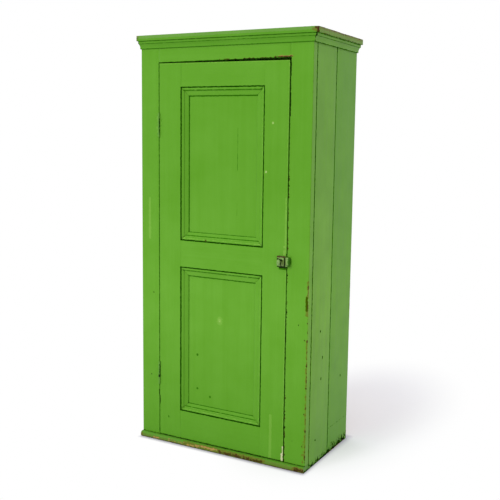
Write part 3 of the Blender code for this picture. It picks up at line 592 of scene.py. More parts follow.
# Old pine that was never painted: orange-brown with dark growth lines and knots, matt.
agedPine = {
    "early": "#C79A62",
    "late": "#99683A",
    "knot": "#5A3319",
    "dust": "#8A7A66",
    "roughness": 0.72,
    "patterns": {
        "warp": (True, 0.10, 2.0, 0.5, 0.0),
        "fine": (True, 0.0030, 2.0, 0.5, 0.0),
        "dustSpots": (False, 0.09, 3.0, 0.5, 0.0),
    },
    "ringSpacing": 0.0045,  # slow-grown pine has 2 mm rings, too fine to show
    "ringWander": {"Distortion": 3.2, "Detail": 2.0, "Detail Scale": 0.22, "Detail Roughness": 0.5},
    "ringStretch": 0.12,  # along the grain
    "lineMix": {"rings": 0.75, "fine": 0.25},
    "ringContrast": 0.75,
    "ringRange": (0.35, 0.90),
    "heartAside": 0.075,
    "heartTurns": (2.3, 1.7, 0.9),  # each board has its own heart and lean
    "lean": 0.025,
    "leanTurns": (3, 5, 7),
    "warpRange": (0.3, 0.7, 0.0, 0.40),
    "knotSpacing": 0.30,
    "knotRadius": 0.10,
    "knotCore": 0.55,  # the dark share of the radius
    "knotMix": {"cells": 1.0, "fine": 0.04},
    "knotStretch": (0.45, 1.6),  # along and across the grain
    "tint": (0.84, 0.24, 0.381),  # the darkest board, how much lighter others get, and the step between them
    "dirtAndShadeMix": {"dirtAndShade": 1.0, "fine": 0.4},
    "dirtAndShadeRange": (0.5, 1.2, 0.0, 0.85),
    "dustRange": (0.3, 0.75),
    "leastDust": 0.4,
    "heightMix": {"fine": 0.05, "lines": -0.08},  # mm
}
# Cast iron under the same paint, greyed by hands and rubbed through to brown metal on its edges.
ironUnderPaint = {
    "iron": "#3A2B1C",
    # dirt and painted shade in inward corners
    "dirtAndShade": "#120F08",
    "shine": 0.4,
    "marksShine": 0.06,
    "patterns": {
        "chips": (False, 0.003, 3.0, 0.6, 0.0),
        "broad": (False, 0.02, 2.0, 0.5, 0.0),
    },
    "toneRange": (0.35, 0.65),
    "rubMix": {"chips": 0.9},
    "rubRange": (0.72, 0.80),
    "dirtAndShadeMix": {"dirtAndShade": 1.0, "chips": 0.5},
    "dirtAndShadeRange": (0.5, 0.8, 0.0, 0.9),
    "roughRange": (0.0, 1.0, 0.38, 0.62),
    "heightMix": {"chips": 0.12, "rubbed": -0.15},  # mm
}
# Bare wrought iron, brown with age, dull with a few bright rubbed spots.
oldIron = {
    "dark": "#2B2119",
    "bright": "#6E5B45",
    "rust": "#5B3218",
    "patterns": {
        "spots": (False, 0.004, 4.0, 0.6, 0.0),
        "broad": (False, 0.015, 2.0, 0.5, 0.0),
    },
    "brightRange": (0.4, 0.7),
    "rustRange": (0.5, 0.62),
    "metalRange": (0.5, 0.62, 0.85, 0.15),
    "roughRange": (0.3, 0.7, 0.4, 0.65),
    "heightMix": {"spots": 0.15},  # mm
}
grainStretch = {"x": (0.035, 1, 1), "y": (1, 0.035, 1), "z": (1, 1, 0.035)}
patternShift = (1.37, 2.11, 0.73)  # each piece is cut from its own place in the patterns


def newMaterial(name):
    material = bpy.data.materials.new(name)
    material.use_nodes = True
    return material, material.node_tree, material.node_tree.nodes["Principled BSDF"]


def objectPlace(tree, seed, scale=(1, 1, 1)):
    place = addNode(tree, "TexCoord").outputs["Object"]
    return addNode(tree, "Mapping", {
        "Vector": place, "Location": [seed * shift for shift in patternShift], "Scale": scale})


def patternsOf(tree, seed, look, grain="z"):
    # the uneven patterns of a finish, by name, and what is known of the piece's edges and corners
    places = {along: objectPlace(tree, seed, grainStretch[grain] if along else (1, 1, 1))
              for along in sorted({pattern[0] for pattern in look["patterns"].values()})}
    patterns = {name: addNode(tree, "Attribute", attribute_name=name).outputs["Fac"] for name in ("wear", "dirtAndShade")}
    for name, (along, size, detail, roughness, distortion) in look["patterns"].items():
        patterns[name] = addNode(tree, "TexNoise", {
            "Vector": places[along], "Scale": 1 / size, "Detail": detail, "Roughness": roughness,
            "Distortion": distortion})
    return patterns


def mixOf(tree, patterns, shares):
    # adds up the patterns, each times its share
    total = 0.0
    for name, share in shares.items():
        total = addNode(tree, "Math", [patterns[name], share, total], operation="MULTIPLY_ADD")
    return total


def finishShader(tree, shader, patterns, look, inputs):
    # heights are in millimetres; the marks stay out of them, as a bump works them all out three times
    height = mixOf(tree, patterns, look["heightMix"])
    bump = addNode(tree, "Bump", {"Strength": 1.0, "Distance": 0.001, "Height": height})
    setInputs(tree, shader, {**inputs, "Normal": bump})


def raggedLines(tree, lines, ragged):
    # 1 on the lines and 0 elsewhere; their width follows the pattern
    place = addNode(tree, "TexCoord").outputs["Object"]
    total = None
    for start, end, half, broken in lines:
        run = Vector(end) - Vector(start)
        offset = addNode(tree, "VectorMath", [place, start], operation="SUBTRACT")
        share = addNode(tree, "VectorMath", [offset, run / run.length_squared], operation="DOT_PRODUCT")
        held = addNode(tree, "Clamp", [share])
        nearest = addNode(tree, "VectorMath", [run, held, start], operation="MULTIPLY_ADD")
        away = addNode(tree, "VectorMath", [place, nearest], operation="DISTANCE")
        width = addNode(tree, "MapRange", [ragged, broken, raggedLook["wholeAt"], 0.0, half])
        inside = addNode(tree, "Math", [width, away], operation="SUBTRACT")
        line = addNode(tree, "MapRange", [inside, 0.0, raggedLook["softness"]])
        total = line if total is None else addNode(tree, "Math", [total, line], operation="MAXIMUM")
    return total


def layMarks(tree, seed, colour, near):
    # paints the marks over a colour; also gives where nothing shines
    ragged = addNode(tree, "TexNoise", {
        "Vector": objectPlace(tree, seed), "Scale": 1 / raggedLook["patternSize"],
        "Detail": raggedLook["detail"], "Roughness": raggedLook["roughness"], "Distortion": 0.0})
    dull = None
    for kind, lines in near.items():
        if lines:
            tint, strength = markColours[kind]
            mask = raggedLines(tree, lines, ragged)
            colour = layColours(tree, colour, (mixOf(tree, {kind: mask}, {kind: strength}), tint))
            if kind in dullMarks:
                dull = mask if dull is None else addNode(tree, "Math", [dull, mask], operation="MAXIMUM")
    return colour, dull


def brushedPaint(name, grain, seed, tone, near, flank=False):
    material, tree, shader = newMaterial(name)
    look = glossPaint
    patterns = patternsOf(tree, seed, look, grain)
    shade = addNode(tree, "MapRange", [mixOf(tree, patterns, look["toneMix"]), *look["toneRange"]])
    darker, lighter = look["tones"][tone]
    colour = layColours(tree, darker, (shade, lighter))
    place = addNode(tree, "SeparateXYZ", [addNode(tree, "TexCoord").outputs["Object"]])
    if flank:
        # the side of a front board takes the sides' tone: painted light, the paint toned for how light falls on the
        # sides
        darker, lighter = look["tones"]["side"]
        aside = addNode(tree, "Math", [place.outputs["X"]], operation="ABSOLUTE")
        turned = addNode(tree, "MapRange", [aside, *look["flankEdge"]])
        colour = layColours(tree, colour, (turned, layColours(tree, darker, (shade, lighter))))
    # painted shade: the paint darkens towards the top and towards the floor
    for heights in look["paintedShadeHeights"]:
        paintedShade = addNode(tree, "MapRange", [place.outputs["Z"], *heights])
        colour = layColours(tree, colour, (paintedShade, look["paintedShade"]))

    rubbed = mixOf(tree, patterns, look["rubMix"])
    chipped = addNode(tree, "MapRange", [rubbed, *look["chipRange"]])
    woodShows = addNode(tree, "MapRange", [rubbed, *look["woodRange"]])
    woodTone = addNode(tree, "MapRange", [patterns["grainLines"], *look["woodToneRange"]])
    darker, lighter = look["bareWood"]
    under = layColours(tree, look["undercoat"], (woodShows, layColours(tree, darker, (woodTone, lighter))))
    # dirt, and painted shade in inward corners, darken the paint
    dirtAndShadeMask = addNode(tree, "MapRange", [mixOf(tree, patterns, look["dirtAndShadeMix"]), *look["dirtAndShadeRange"]])
    colour = layColours(tree, colour, (chipped, under), (dirtAndShadeMask, look["dirtAndShade"]))
    colour, dull = layMarks(tree, seed, colour, near)

    gloss = addNode(tree, "MapRange", [patterns["streaks"], *look["glossRange"]])
    worn = addNode(tree, "Math", [chipped, dirtAndShadeMask], operation="MAXIMUM")
    shine = look["shine"]
    if dull is not None:
        worn = addNode(tree, "Math", [worn, dull], operation="MAXIMUM")
        shine = addNode(tree, "MapRange", [dull, 0.0, 1.0, look["shine"], look["marksShine"]])
    roughness = addNode(tree, "Mix", {0: worn, 2: gloss, 3: look["wornRoughness"]}, data_type="FLOAT")
    finishShader(tree, shader, {**patterns, "chipped": chipped}, look, {
        "Base Color": colour, "Specular IOR Level": shine, "Roughness": roughness})
    return material


def barePine(name, node, grain, seed, dusty=0.0):
    material, tree, shader = newMaterial(name)
    look = agedPine
    patterns = patternsOf(tree, seed, look, grain)
    # growth rings round a heart that lies behind the board's face and leans a little
    low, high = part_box(node)
    first, second, third = look["heartTurns"]
    toHeart = Vector((math.sin(seed * first), math.cos(seed * second), math.sin(seed * third))) * look["heartAside"]
    leaning = addNode(tree, "Mapping", {
        "Vector": addNode(tree, "TexCoord").outputs["Object"], "Location": toHeart - (low + high) / 2,
        "Rotation": [look["lean"] * math.sin(seed * turn) for turn in look["leanTurns"]]})
    pressed = addNode(tree, "Mapping", {
        "Vector": leaning, "Scale": [1 if reach == 1 else look["ringStretch"] for reach in grainStretch[grain]]})
    patterns["rings"] = addNode(tree, "TexWave", {
        "Vector": pressed, "Scale": math.tau / 20 / look["ringSpacing"], **look["ringWander"]},
        wave_type="RINGS", rings_direction=grain.upper(), wave_profile="SAW").outputs["Fac"]
    lengthwise, sideways = look["knotStretch"]
    spots = objectPlace(tree, seed, [lengthwise if reach < 1 else sideways for reach in grainStretch[grain]])
    patterns["cells"] = addNode(tree, "TexVoronoi", {"Vector": spots, "Scale": 1 / look["knotSpacing"]})
    radius = look["knotRadius"]
    knots = addNode(tree, "MapRange", [
        mixOf(tree, patterns, look["knotMix"]), radius * look["knotCore"], radius, 1.0, 0.0])
    patterns["lines"] = addNode(tree, "MapRange", [mixOf(tree, patterns, look["lineMix"]), *look["ringRange"]])

    darkest, lighter, step = look["tint"]
    tint = darkest + lighter * (seed * step % 1)
    early, late = ([channel * tint for channel in linear(look[wood])[:3]] + [1.0] for wood in ("early", "late"))
    warped = addNode(tree, "MapRange", [patterns["warp"], *look["warpRange"]])
    # dirt, and painted shade in inward corners, darken the wood
    dirtAndShadeMask = addNode(tree, "MapRange", [mixOf(tree, patterns, look["dirtAndShadeMix"]), *look["dirtAndShadeRange"]])
    dust = addNode(tree, "MapRange", [
        patterns["dustSpots"], *look["dustRange"], dusty * look["leastDust"], dusty])
    contrast = mixOf(tree, patterns, {"lines": look["ringContrast"]})
    colour = layColours(tree, early, (contrast, late), (warped, late), (knots, look["knot"]), (dirtAndShadeMask, look["knot"]),
                        (dust, look["dust"]))
    finishShader(tree, shader, patterns, look, {"Base Color": colour, "Roughness": look["roughness"]})
    return material


def paintedIron(name, seed, darker, lighter, rubbing, near):
    material, tree, shader = newMaterial(name)
    look = ironUnderPaint
    patterns = patternsOf(tree, seed, look)
    rubbed = addNode(tree, "MapRange", [
        mixOf(tree, patterns, {"wear": rubbing, **look["rubMix"]}), *look["rubRange"]])
    tone = addNode(tree, "MapRange", [patterns["broad"], *look["toneRange"]])
    # dirt, and painted shade in inward corners, darken the iron
    dirtAndShadeMask = addNode(tree, "MapRange", [mixOf(tree, patterns, look["dirtAndShadeMix"]), *look["dirtAndShadeRange"]])
    colour = layColours(tree, darker, (tone, lighter), (rubbed, look["iron"]), (dirtAndShadeMask, look["dirtAndShade"]))
    colour, dull = layMarks(tree, seed, colour, near)
    if dull is not None:
        shine = addNode(tree, "MapRange", [dull, 0.0, 1.0, look["shine"], look["marksShine"]])
        setInputs(tree, shader, {"Specular IOR Level": shine})
    roughness = addNode(tree, "MapRange", [rubbed, *look["roughRange"]])
    finishShader(tree, shader, {**patterns, "rubbed": rubbed}, look, {"Base Color": colour, "Roughness": roughness})
    return material


def wornIron(name, seed):
    material, tree, shader = newMaterial(name)
    look = oldIron
    patterns = patternsOf(tree, seed, look)
    bright, roughness = (addNode(tree, "MapRange", [patterns["spots"], *look[end]])
                         for end in ("brightRange", "roughRange"))
    rusty, metallic = (addNode(tree, "MapRange", [patterns["broad"], *look[end]])
                       for end in ("rustRange", "metalRange"))
    colour = layColours(tree, look["dark"], (bright, look["bright"]), (rusty, look["rust"]))
    finishShader(tree, shader, patterns, look, {
        "Base Color": colour, "Metallic": metallic, "Roughness": roughness})
    return material


# places where wood is lost: centre, reach along x, y and z, and amount
wornPlaces = [
    ((side, front, 0.715), (0.010, 0.010, 0.060), 0.85),
    ((side, front, 0.455), (0.008, 0.008, 0.020), 0.70),
    ((side, front, 0.350), (0.008, 0.008, 0.018), 0.65),
    ((side, front, 0.180), (0.008, 0.008, 0.020), 0.65),
    ((doorRight, front, 0.055), (0.008, 0.02, 0.036), 0.80),
    ((corniceHigh.x, corniceLow.y, 1.793), (0.012, 0.012, 0.012), 1.10),
    ((corniceHigh.x, 0.0, 1.800), (0.010, 0.040, 0.008), 0.90),
    ((corniceLow.x, corniceLow.y, 1.795), (0.010, 0.010, 0.010), 0.70),
    ((-0.33, noseFront, 0.014), (0.030, 0.02, 0.012), 0.80),
    ((-0.24, noseFront, 0.008), (0.025, 0.02, 0.010), 0.80),
    ((-0.065, noseFront, 0.014), (0.045, 0.02, 0.014), 1.10),
    ((0.10, noseFront, 0.012), (0.100, 0.02, 0.012), 1.00),
    ((0.40, noseFront, 0.013), (0.022, 0.03, 0.014), 1.20),
]


# Shaping helpers

shaping = {
    "weld": 0.00002,
    "flatAngle": math.radians(0.5),
    "arrisAngle": math.radians(35),
    "shortestArris": 0.012,
    "jointWidth": 0.0006,  # an edge this near a painted-over joint stays sharp
    "cutWeld": 0.00005,
    "supportInset": 0.004,  # one more cut, this near each end
    "outwardTurn": 0.12,  # an edge that turns more than this wears
    "inwardTurn": -0.3,  # and a corner that turns in by more than this is darkened: dirt and painted shade
    "arrisWear": 0.10,
    "cornerDirtAndShade": 0.22,
    "ripple": 0.0003,  # planed boards aren't quite flat
    "rippleSize": 0.22,
    "erosion": 0.0016,  # how much wood a fully worn place has lost
    "erosionSize": 0.006,
    "erosionShares": (0.6, 0.8),  # the even and the uneven part
    "sharpAngle": math.radians(50),
}
rottenFeet = {
    "cutHeight": 0.012,
    "cutStep": 0.005,
    "endHeight": 0.0005,
    "sizes": {0.011: 1.0, 0.03: 0.6},  # of the ragged pattern, and how much each counts
    "least": 0.25,
    "contrast": 1.1,
    "rise": 0.0036,  # how far the feet have rotted
}
axes = (Vector((1, 0, 0)), Vector((0, 1, 0)), Vector((0, 0, 1)))


def weldedCopy(nodeName):
    bm = bmesh.new()
    bm.from_mesh(frame["nodes"][nodeName].data)
    bmesh.ops.remove_doubles(bm, verts=bm.verts[:], dist=shaping["weld"])
    bmesh.ops.dissolve_limit(bm, angle_limit=shaping["flatAngle"], verts=bm.verts[:], edges=bm.edges[:])
    return bm


def alongJoint(edge, joints):
    # whether an edge runs straight up or back at one of these x
    first, second = (vert.co.x for vert in edge.verts)
    near = shaping["jointWidth"]
    return abs(first - second) < near and any(abs(first - x) < near for x in joints)


def easeArrises(bm, width, segments=2, shortest=shaping["shortestArris"], paintedOver=()):
    # rounds the outer edges, but not those of painted-over joints at the given x
    arrises = [
        edge for edge in bm.edges
        if len(edge.link_faces) == 2
        and edge.calc_face_angle_signed() > shaping["arrisAngle"]
        and edge.calc_length() > shortest
        and not alongJoint(edge, paintedOver)
    ]
    bmesh.ops.bevel(bm, geom=arrises, offset=width, offset_type="OFFSET", segments=segments, profile=0.5,
                    affect="EDGES", clamp_overlap=True, material=-1)


def cutAcross(bm, axis, height, parts=None):
    # cuts the given parts, or the whole piece, square to an axis
    bmesh.ops.bisect_plane(bm, geom=parts or bm.verts[:] + bm.edges[:] + bm.faces[:], dist=shaping["cutWeld"],
                           plane_co=axes[axis] * height, plane_no=axes[axis])


def dice(bm, step):
    # cuts a board into squares, so that wear and small dents have points to act on
    for axis in range(3):
        low = min(vert.co[axis] for vert in bm.verts)
        high = max(vert.co[axis] for vert in bm.verts)
        count = max(1, round((high - low) / step))
        heights = [low + (high - low) * number / count for number in range(1, count)]
        if high - low > step * 2:
            heights += [low + shaping["supportInset"], high - shaping["supportInset"]]
        for height in heights:
            cutAcross(bm, axis, height)


def wearEdges(bm):
    wear = bm.verts.layers.float.new("wear")
    dirtAndShade = bm.verts.layers.float.new("dirtAndShade")
    bm.normal_update()
    for vert in bm.verts:
        turns = [edge.calc_face_angle_signed(0) for edge in vert.link_edges if len(edge.link_faces) == 2]
        if turns and max(turns) > shaping["outwardTurn"]:
            vert[wear] = shaping["arrisWear"]
        # inward corners are marked for dirt and painted shade
        if turns and min(turns) < shaping["inwardTurn"]:
            vert[dirtAndShade] = shaping["cornerDirtAndShade"]


def woodLost(places):
    lost = np.zeros(len(places))
    for centre, reach, amount in wornPlaces:
        away = (places - np.array(centre)) / np.array(reach)
        lost += amount * np.exp(-(away ** 2).sum(axis=1))
    return lost


def lowFaces(bm):
    return [face for face in bm.faces if face.calc_center_median().z < rottenFeet["cutHeight"]]


def rotFeet(bm):
    # the lower ends of the outer boards are ragged
    feet = lowFaces(bm)
    for axis in (0, 1):
        ends = [vert.co[axis] for face in feet for vert in face.verts]
        low, high = min(ends), max(ends)
        count = round((high - low) / rottenFeet["cutStep"])
        for number in range(1, count):
            parts = list({part for face in lowFaces(bm) for part in (*face.verts, *face.edges, face)})
            cutAcross(bm, axis, low + (high - low) * number / count, parts)
    for vert in bm.verts:
        if vert.co.z < rottenFeet["endHeight"]:
            ragged = sum(share * noise.noise(vert.co / size) for size, share in rottenFeet["sizes"].items())
            rotten = rottenFeet["least"] + rottenFeet["contrast"] * ragged
            vert.co.z += rottenFeet["rise"] * min(1, max(0, rotten))


def roughen(mesh, ripple):
    # moves points a little inwards, more where wood is lost
    count = len(mesh.vertices)
    places = np.zeros(count * 3, np.float32)
    normals = np.zeros(count * 3, np.float32)
    mesh.vertices.foreach_get("co", places)
    mesh.vertices.foreach_get("normal", normals)
    places, normals = places.reshape(-1, 3), normals.reshape(-1, 3)
    wave, rough = (np.array([noise.noise(Vector(place) / size) for place in places.tolist()])
                   for size in (shaping["rippleSize"], shaping["erosionSize"]))
    even, uneven = shaping["erosionShares"]
    lost = woodLost(places) * shaping["erosion"] * (even + uneven * rough)
    places -= normals * ((wave * 0.5 + 0.5) * ripple + lost)[:, None]
    mesh.vertices.foreach_set("co", places.ravel())


def finishPiece(bm, name, body, nodes, slot, materials, ripple=0.0):
    mesh = bpy.data.meshes.new(name)
    wearEdges(bm)
    bm.to_mesh(mesh)
    bm.free()
    roughen(mesh, ripple)
    for material in materials:
        mesh.materials.append(material)
    piece = bpy.data.objects.new(name, mesh)
    bpy.context.scene.collection.objects.link(piece)
    mesh.shade_smooth()
    evenShading = piece.modifiers.new("even_shading", "WEIGHTED_NORMAL")
    evenShading.keep_sharp = True
    mesh.set_sharp_from_angle(angle=shaping["sharpAngle"])
    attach(piece, body)
    if nodes:
        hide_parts(*nodes)


bodyOf = {node: body for body, members in frame["record"]["behaviour"]["bodies"].items() for node in members}


# Painted boards

toLeft, toRight, toBack, down, up = (-1, 0, 0), (1, 0, 0), (0, 1, 0), (0, 0, -1), (0, 0, 1)
paintedBoards = {
    "frame_stile_left": {"grain": "z", "bare": [toBack], "tone": "front"},
    "frame_stile_right": {"grain": "z", "bare": [toBack], "tone": "front"},
    "frame_top_rail": {"grain": "x", "bare": [toBack], "tone": "front"},
    "side_left_front_board": {"grain": "z", "bare": [toRight], "tone": "side"},
    "side_left_rear_board": {"grain": "z", "bare": [toRight], "tone": "rear"},
    "side_right_front_board": {"grain": "z", "bare": [toLeft], "tone": "side"},
    "side_right_rear_board": {"grain": "z", "bare": [toLeft], "tone": "rear"},
    "door_stile_hinge_side": {"grain": "z", "bare": [toBack, toRight], "tone": "front"},
    "door_stile_latch_side": {"grain": "z", "bare": [toBack, toLeft], "tone": "front"},
    "door_rail_bottom": {"grain": "x", "bare": [toBack, up], "tone": "front"},
    "door_rail_lock": {"grain": "x", "bare": [toBack, up, down], "tone": "front"},
    "door_rail_top": {"grain": "x", "bare": [toBack, down], "tone": "front"},
    "door_panel_lower": {"grain": "z", "bare": [toBack, toLeft, toRight, up, down], "tone": "front"},
    "door_panel_upper": {"grain": "z", "bare": [toBack, toLeft, toRight, up, down], "tone": "front"},
}
boardMaking = {
    "arris": 0.0011,
    "arrisSegments": 3,
    "step": 0.014,
    "bridged": 0.0005,  # the paint bridges the joints: a rail's shoulders reach this far into the stiles
    "shoulderReach": 0.0012,
    "bareBehind": 0.010,  # bare faces lie further behind the front than this
    "bareTurn": 0.3,  # how squarely a face has to look a bare way
}
paintedJoints = (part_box("lower_moulding_left")[0].x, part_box("lower_moulding_right")[1].x, openingLeft, openingRight)
shoulders = {
    "door_rail": (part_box("door_stile_hinge_side")[1].x - boardMaking["bridged"],
                  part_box("door_stile_latch_side")[0].x + boardMaking["bridged"]),
    "frame_top": (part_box("frame_stile_left")[1].x - boardMaking["bridged"],
                  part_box("frame_stile_right")[0].x + boardMaking["bridged"]),
}


def leaveBare(bm, directions):
    # the faces that look one of these ways take the second finish, but for those between board and moulding
    aims = [Vector(direction) for direction in directions]
    bm.normal_update()
    for face in bm.faces:
        behind = face.calc_center_median().y > front + boardMaking["bareBehind"]
        if behind and any(face.normal.dot(aim) > boardMaking["bareTurn"] for aim in aims):
            face.material_index = 1


def makePaintedBoards():
    for seed, (node, board) in enumerate(paintedBoards.items(), 1):
        bm = weldedCopy(node)
        for shoulder in shoulders.get(node[:9], ()):
            for vert in bm.verts:
                if abs(vert.co.x - shoulder) < boardMaking["shoulderReach"]:
                    vert.co.x = shoulder
        easeArrises(bm, boardMaking["arris"], boardMaking["arrisSegments"],
                    paintedOver=paintedJoints if node.startswith(("door", "frame_top")) else ())
        dice(bm, boardMaking["step"])
        if node.startswith("side"):
            rotFeet(bm)
        leaveBare(bm, board["bare"])
        flank = node.startswith("frame_stile")
        paint = brushedPaint("gloss_green_" + node, board["grain"], seed, board["tone"], marksNear(node), flank)
        pine = barePine("aged_pine_" + node, node, board["grain"], seed)
        finishPiece(bm, "painted_" + node, bodyOf[node], [node], "painted_pine", [paint, pine], shaping["ripple"])


makePaintedBoards()
print("painted boards made")


# Mouldings, cornice and sill

trims = {
    "cornice_front": {"grain": "x", "arris": 0.0012, "step": 0.012, "tone": "trim"},
    "cornice_left": {"grain": "y", "arris": 0.0012, "step": 0.012, "tone": "side"},
    "cornice_right": {"grain": "y", "arris": 0.0012, "step": 0.012, "tone": "side"},
    "sill_board": {"grain": "x", "arris": 0.0015, "step": 0.009, "tone": "sill"},
}
for panel in ("lower", "upper"):
    for edge, grain in (("left", "z"), ("right", "z"), ("bottom", "x"), ("top", "x")):
        trims[f"{panel}_moulding_{edge}"] = {
            "grain": grain, "arris": 0.0006, "step": 0.02, "tone": "shaded" if edge == "left" else "front"}


def makeTrims():
    for seed, (node, trim) in enumerate(trims.items(), 20):
        bm = weldedCopy(node)
        easeArrises(bm, trim["arris"])
        dice(bm, trim["step"])
        paint = brushedPaint("gloss_green_" + node, trim["grain"], seed, trim["tone"], marksNear(node))
        finishPiece(bm, "painted_" + node, bodyOf[node], [node], "painted_pine", [paint])


makeTrims()
print("mouldings, cornice and sill made")


# Unpainted boards inside

bareBoards = {
    "bottom_board": {"grain": "x", "dusty": 0.35},
    "top_board": {"grain": "x", "dusty": 0.75},
    "door_stop_strip": {"grain": "z", "dusty": 0.1},
}
for number in range(1, 5):
    bareBoards[f"back_board_{number}"] = {"grain": "z", "dusty": 0.3}
    bareBoards[f"shelf_{number}"] = {"grain": "x", "dusty": 0.15}
    for edge in ("left", "right"):
        bareBoards[f"shelf_{number}_batten_{edge}"] = {"grain": "y", "dusty": 0.1}
bareMaking = {"arris": 0.0012, "step": 0.05}


def makeBareBoards():
    for seed, (node, board) in enumerate(bareBoards.items(), 40):
        bm = weldedCopy(node)
        easeArrises(bm, bareMaking["arris"])
        dice(bm, bareMaking["step"])
        if node.startswith("back"):
            rotFeet(bm)
        pine = barePine("aged_pine_" + node, node, board["grain"], seed, board["dusty"])
        finishPiece(bm, "bare_" + node, bodyOf[node], [node], "bare_pine", [pine], shaping["ripple"])


makeBareBoards()
print("bare boards made")


# Hinges and latch

# each look: the paint's darker and lighter tone, and how far the edges are rubbed
ironLooks = {
    "hinge": ("#4E8A1C", "#629C2C", 1.2),
    "latch": ("#6C9640", "#84A85A", 1.6),
    "knob": ("#6E9844", "#90B26A", 1.8),
    "screw": ("#5F8A36", "#86A95C", 3.0),
}
ironParts = {
    "hinge_upper_frame_leaf": "hinge", "hinge_upper_door_leaf": "hinge", "hinge_upper_pin": "hinge",
    "hinge_lower_frame_leaf": "hinge", "hinge_lower_door_leaf": "hinge", "hinge_lower_pin": "hinge",
    "latch_case": "latch", "latch_keeper": "latch", "latch_knob": "knob", "latch_bolt": "unpainted",
}
ironMaking = {"arris": 0.0005, "shortestArris": 0.004}


def makeIronParts():
    for seed, (node, look) in enumerate(ironParts.items(), 70):
        bm = weldedCopy(node)
        easeArrises(bm, ironMaking["arris"], shortest=ironMaking["shortestArris"])
        if look == "unpainted":
            material, slot = wornIron("worn_iron_" + node, seed), "worn_iron"
        else:
            material = paintedIron("painted_iron_" + node, seed, *ironLooks[look], marksNear(node))
            slot = "painted_iron"
        finishPiece(bm, "iron_" + node, bodyOf[node], [node], slot, [material])


makeIronParts()
print("iron parts made")


# Screws and nails

heads = {
    "hingeScrew": {"radius": 0.0040, "rise": 0.00005, "slot": 0.0010, "slotDepth": 0.0005},
    "latchScrew": {"radius": 0.0026, "rise": 0.0007, "slot": 0.0008, "slotDepth": 0.0005},
    "battenScrew": {"radius": 0.0042, "rise": 0.0002, "slot": 0.0011, "slotDepth": 0.0006},
    "backNail": {"radius": 0.0030, "rise": 0.0, "slot": 0.0, "slotDepth": 0.0},
}
headMaking = {
    "dome": ((0.0, 1.0), (0.55, 0.9), (0.93, 0.35), (1.0, 0.0)),  # shares of the radius and of the rise
    "skirt": (0.9, -0.0012),  # the share of the radius below the surface, and how deep it goes
    "steps": 20,
    "weld": 0.00001,
    "flat": 0.3,
    "spin": 2.4,  # from each head's slot to the next one's, radians
}
fastenings = {
    "leafSplit": 0.0003,  # between the two closed leaves of a hinge
    "leafBack": 0.003,  # the screws lie behind the leaf's middle
    "leafSpots": ((0.16, 0.003), (0.5, -0.003), (0.84, 0.003)),  # shares of its height, and how far back
    "keeperInset": 0.006,
    "caseInset": 0.0065,
    "battenShares": (0.12, 0.5, 0.88),
    "backShares": (0.2, 0.75),
    "backSunk": 0.0001,
    "shelfRise": 0.010,  # to the middle of a shelf
    "boardHeights": (0.013, 1.772),
}


def headShape(kind):
    # a low dome turned about +Z, with its slot
    head = heads[kind]
    skirtShare, skirtDepth = headMaking["skirt"]
    profile = [(head["radius"] * outwards, head["rise"] * upwards) for outwards, upwards in headMaking["dome"]]
    profile.append((head["radius"] * skirtShare, skirtDepth))
    bm = bmesh.new()
    ring = [bm.verts.new((x, 0, z)) for x, z in profile]
    edges = [bm.edges.new(pair) for pair in zip(ring, ring[1:])]
    bmesh.ops.spin(bm, geom=ring + edges, cent=(0, 0, 0), axis=(0, 0, 1), angle=math.tau,
                   steps=headMaking["steps"], use_merge=True)
    bmesh.ops.remove_doubles(bm, verts=bm.verts[:], dist=headMaking["weld"])
    bmesh.ops.recalc_face_normals(bm, faces=bm.faces[:])
    if head["slot"]:
        half = head["slot"] / 2
        for x in (-half, half):
            cutAcross(bm, 0, x)
        strip = [face for face in bm.faces
                 if abs(face.calc_center_median().x) < half and face.normal.z > headMaking["flat"]]
        sunk = bmesh.ops.extrude_face_region(bm, geom=strip)["geom"]
        bmesh.ops.delete(bm, geom=strip, context="FACES")
        lowered = [part for part in sunk if isinstance(part, bmesh.types.BMVert)]
        bmesh.ops.translate(bm, verts=lowered, vec=(0, 0, -head["slotDepth"]))
    return bm


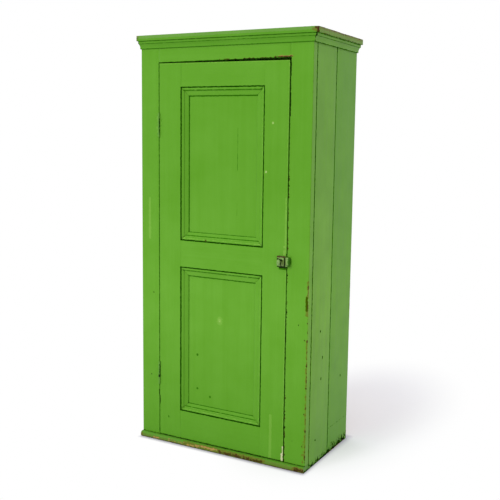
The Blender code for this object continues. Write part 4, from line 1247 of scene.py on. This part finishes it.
def placeHeads(name, body, kind, facing, places, material, slot):
    shape = bpy.data.meshes.new(name + "_shape")
    single = headShape(kind)
    single.to_mesh(shape)
    single.free()
    bm = bmesh.new()
    turned = Vector(facing).to_track_quat("Z", "Y").to_matrix().to_4x4()
    for number, place in enumerate(places):
        before = len(bm.verts)
        bm.from_mesh(shape)
        bm.verts.ensure_lookup_table()
        spin = Matrix.Rotation(number * headMaking["spin"], 4, "Z")
        bmesh.ops.transform(bm, verts=bm.verts[before:], matrix=Matrix.Translation(place) @ turned @ spin)
    bpy.data.meshes.remove(shape)
    finishPiece(bm, name, body, [], slot, [material])


def makeFastenings():
    iron = wornIron("worn_iron_fastenings", 91)
    painted = paintedIron("painted_iron_fastenings", 92, *ironLooks["screw"], {})

    pinLow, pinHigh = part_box("hinge_upper_pin")
    for hinge in ("upper", "lower"):
        for leaf, body, way in (("frame", "carcass", 1), ("door", "door", -1)):
            low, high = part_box(f"hinge_{hinge}_{leaf}_leaf")
            x = (pinLow.x + pinHigh.x) / 2 - way * fastenings["leafSplit"] / 2
            y = (low.y + high.y) / 2 + fastenings["leafBack"]
            places = [(x, y + sway, low.z + (high.z - low.z) * share) for share, sway in fastenings["leafSpots"]]
            placeHeads(f"screws_hinge_{hinge}_{leaf}", body, "hingeScrew", (way, 0, 0), places, iron, "worn_iron")

    for name, node, body, inset in (("screws_keeper", "latch_keeper", "carcass", fastenings["keeperInset"]),
                                    ("screws_latch_case", "latch_case", "door", fastenings["caseInset"])):
        low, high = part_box(node)
        places = [((low.x + high.x) / 2, low.y, z) for z in (low.z + inset, high.z - inset)]
        placeHeads(name, body, "latchScrew", (0, -1, 0), places, painted, "painted_iron")

    for number in range(1, 5):
        for edge, way in (("left", 1), ("right", -1)):
            low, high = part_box(f"shelf_{number}_batten_{edge}")
            places = [(high.x if way > 0 else low.x, low.y + (high.y - low.y) * share, (low.z + high.z) / 2)
                      for share in fastenings["battenShares"]]
            placeHeads(f"screws_batten_{number}_{edge}", "carcass", "battenScrew", (way, 0, 0), places, iron,
                       "worn_iron")

    rows = [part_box(f"shelf_{number}")[0].z + fastenings["shelfRise"] for number in range(1, 5)]
    places = []
    for number in range(1, 5):
        low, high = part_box(f"back_board_{number}")
        places += [(low.x + (high.x - low.x) * share, rear - fastenings["backSunk"], z)
                   for z in (*rows, *fastenings["boardHeights"]) for share in fastenings["backShares"]]
    placeHeads("nails_back", "carcass", "backNail", (0, 1, 0), places, iron, "worn_iron")


makeFastenings()
print("screws and nails made")
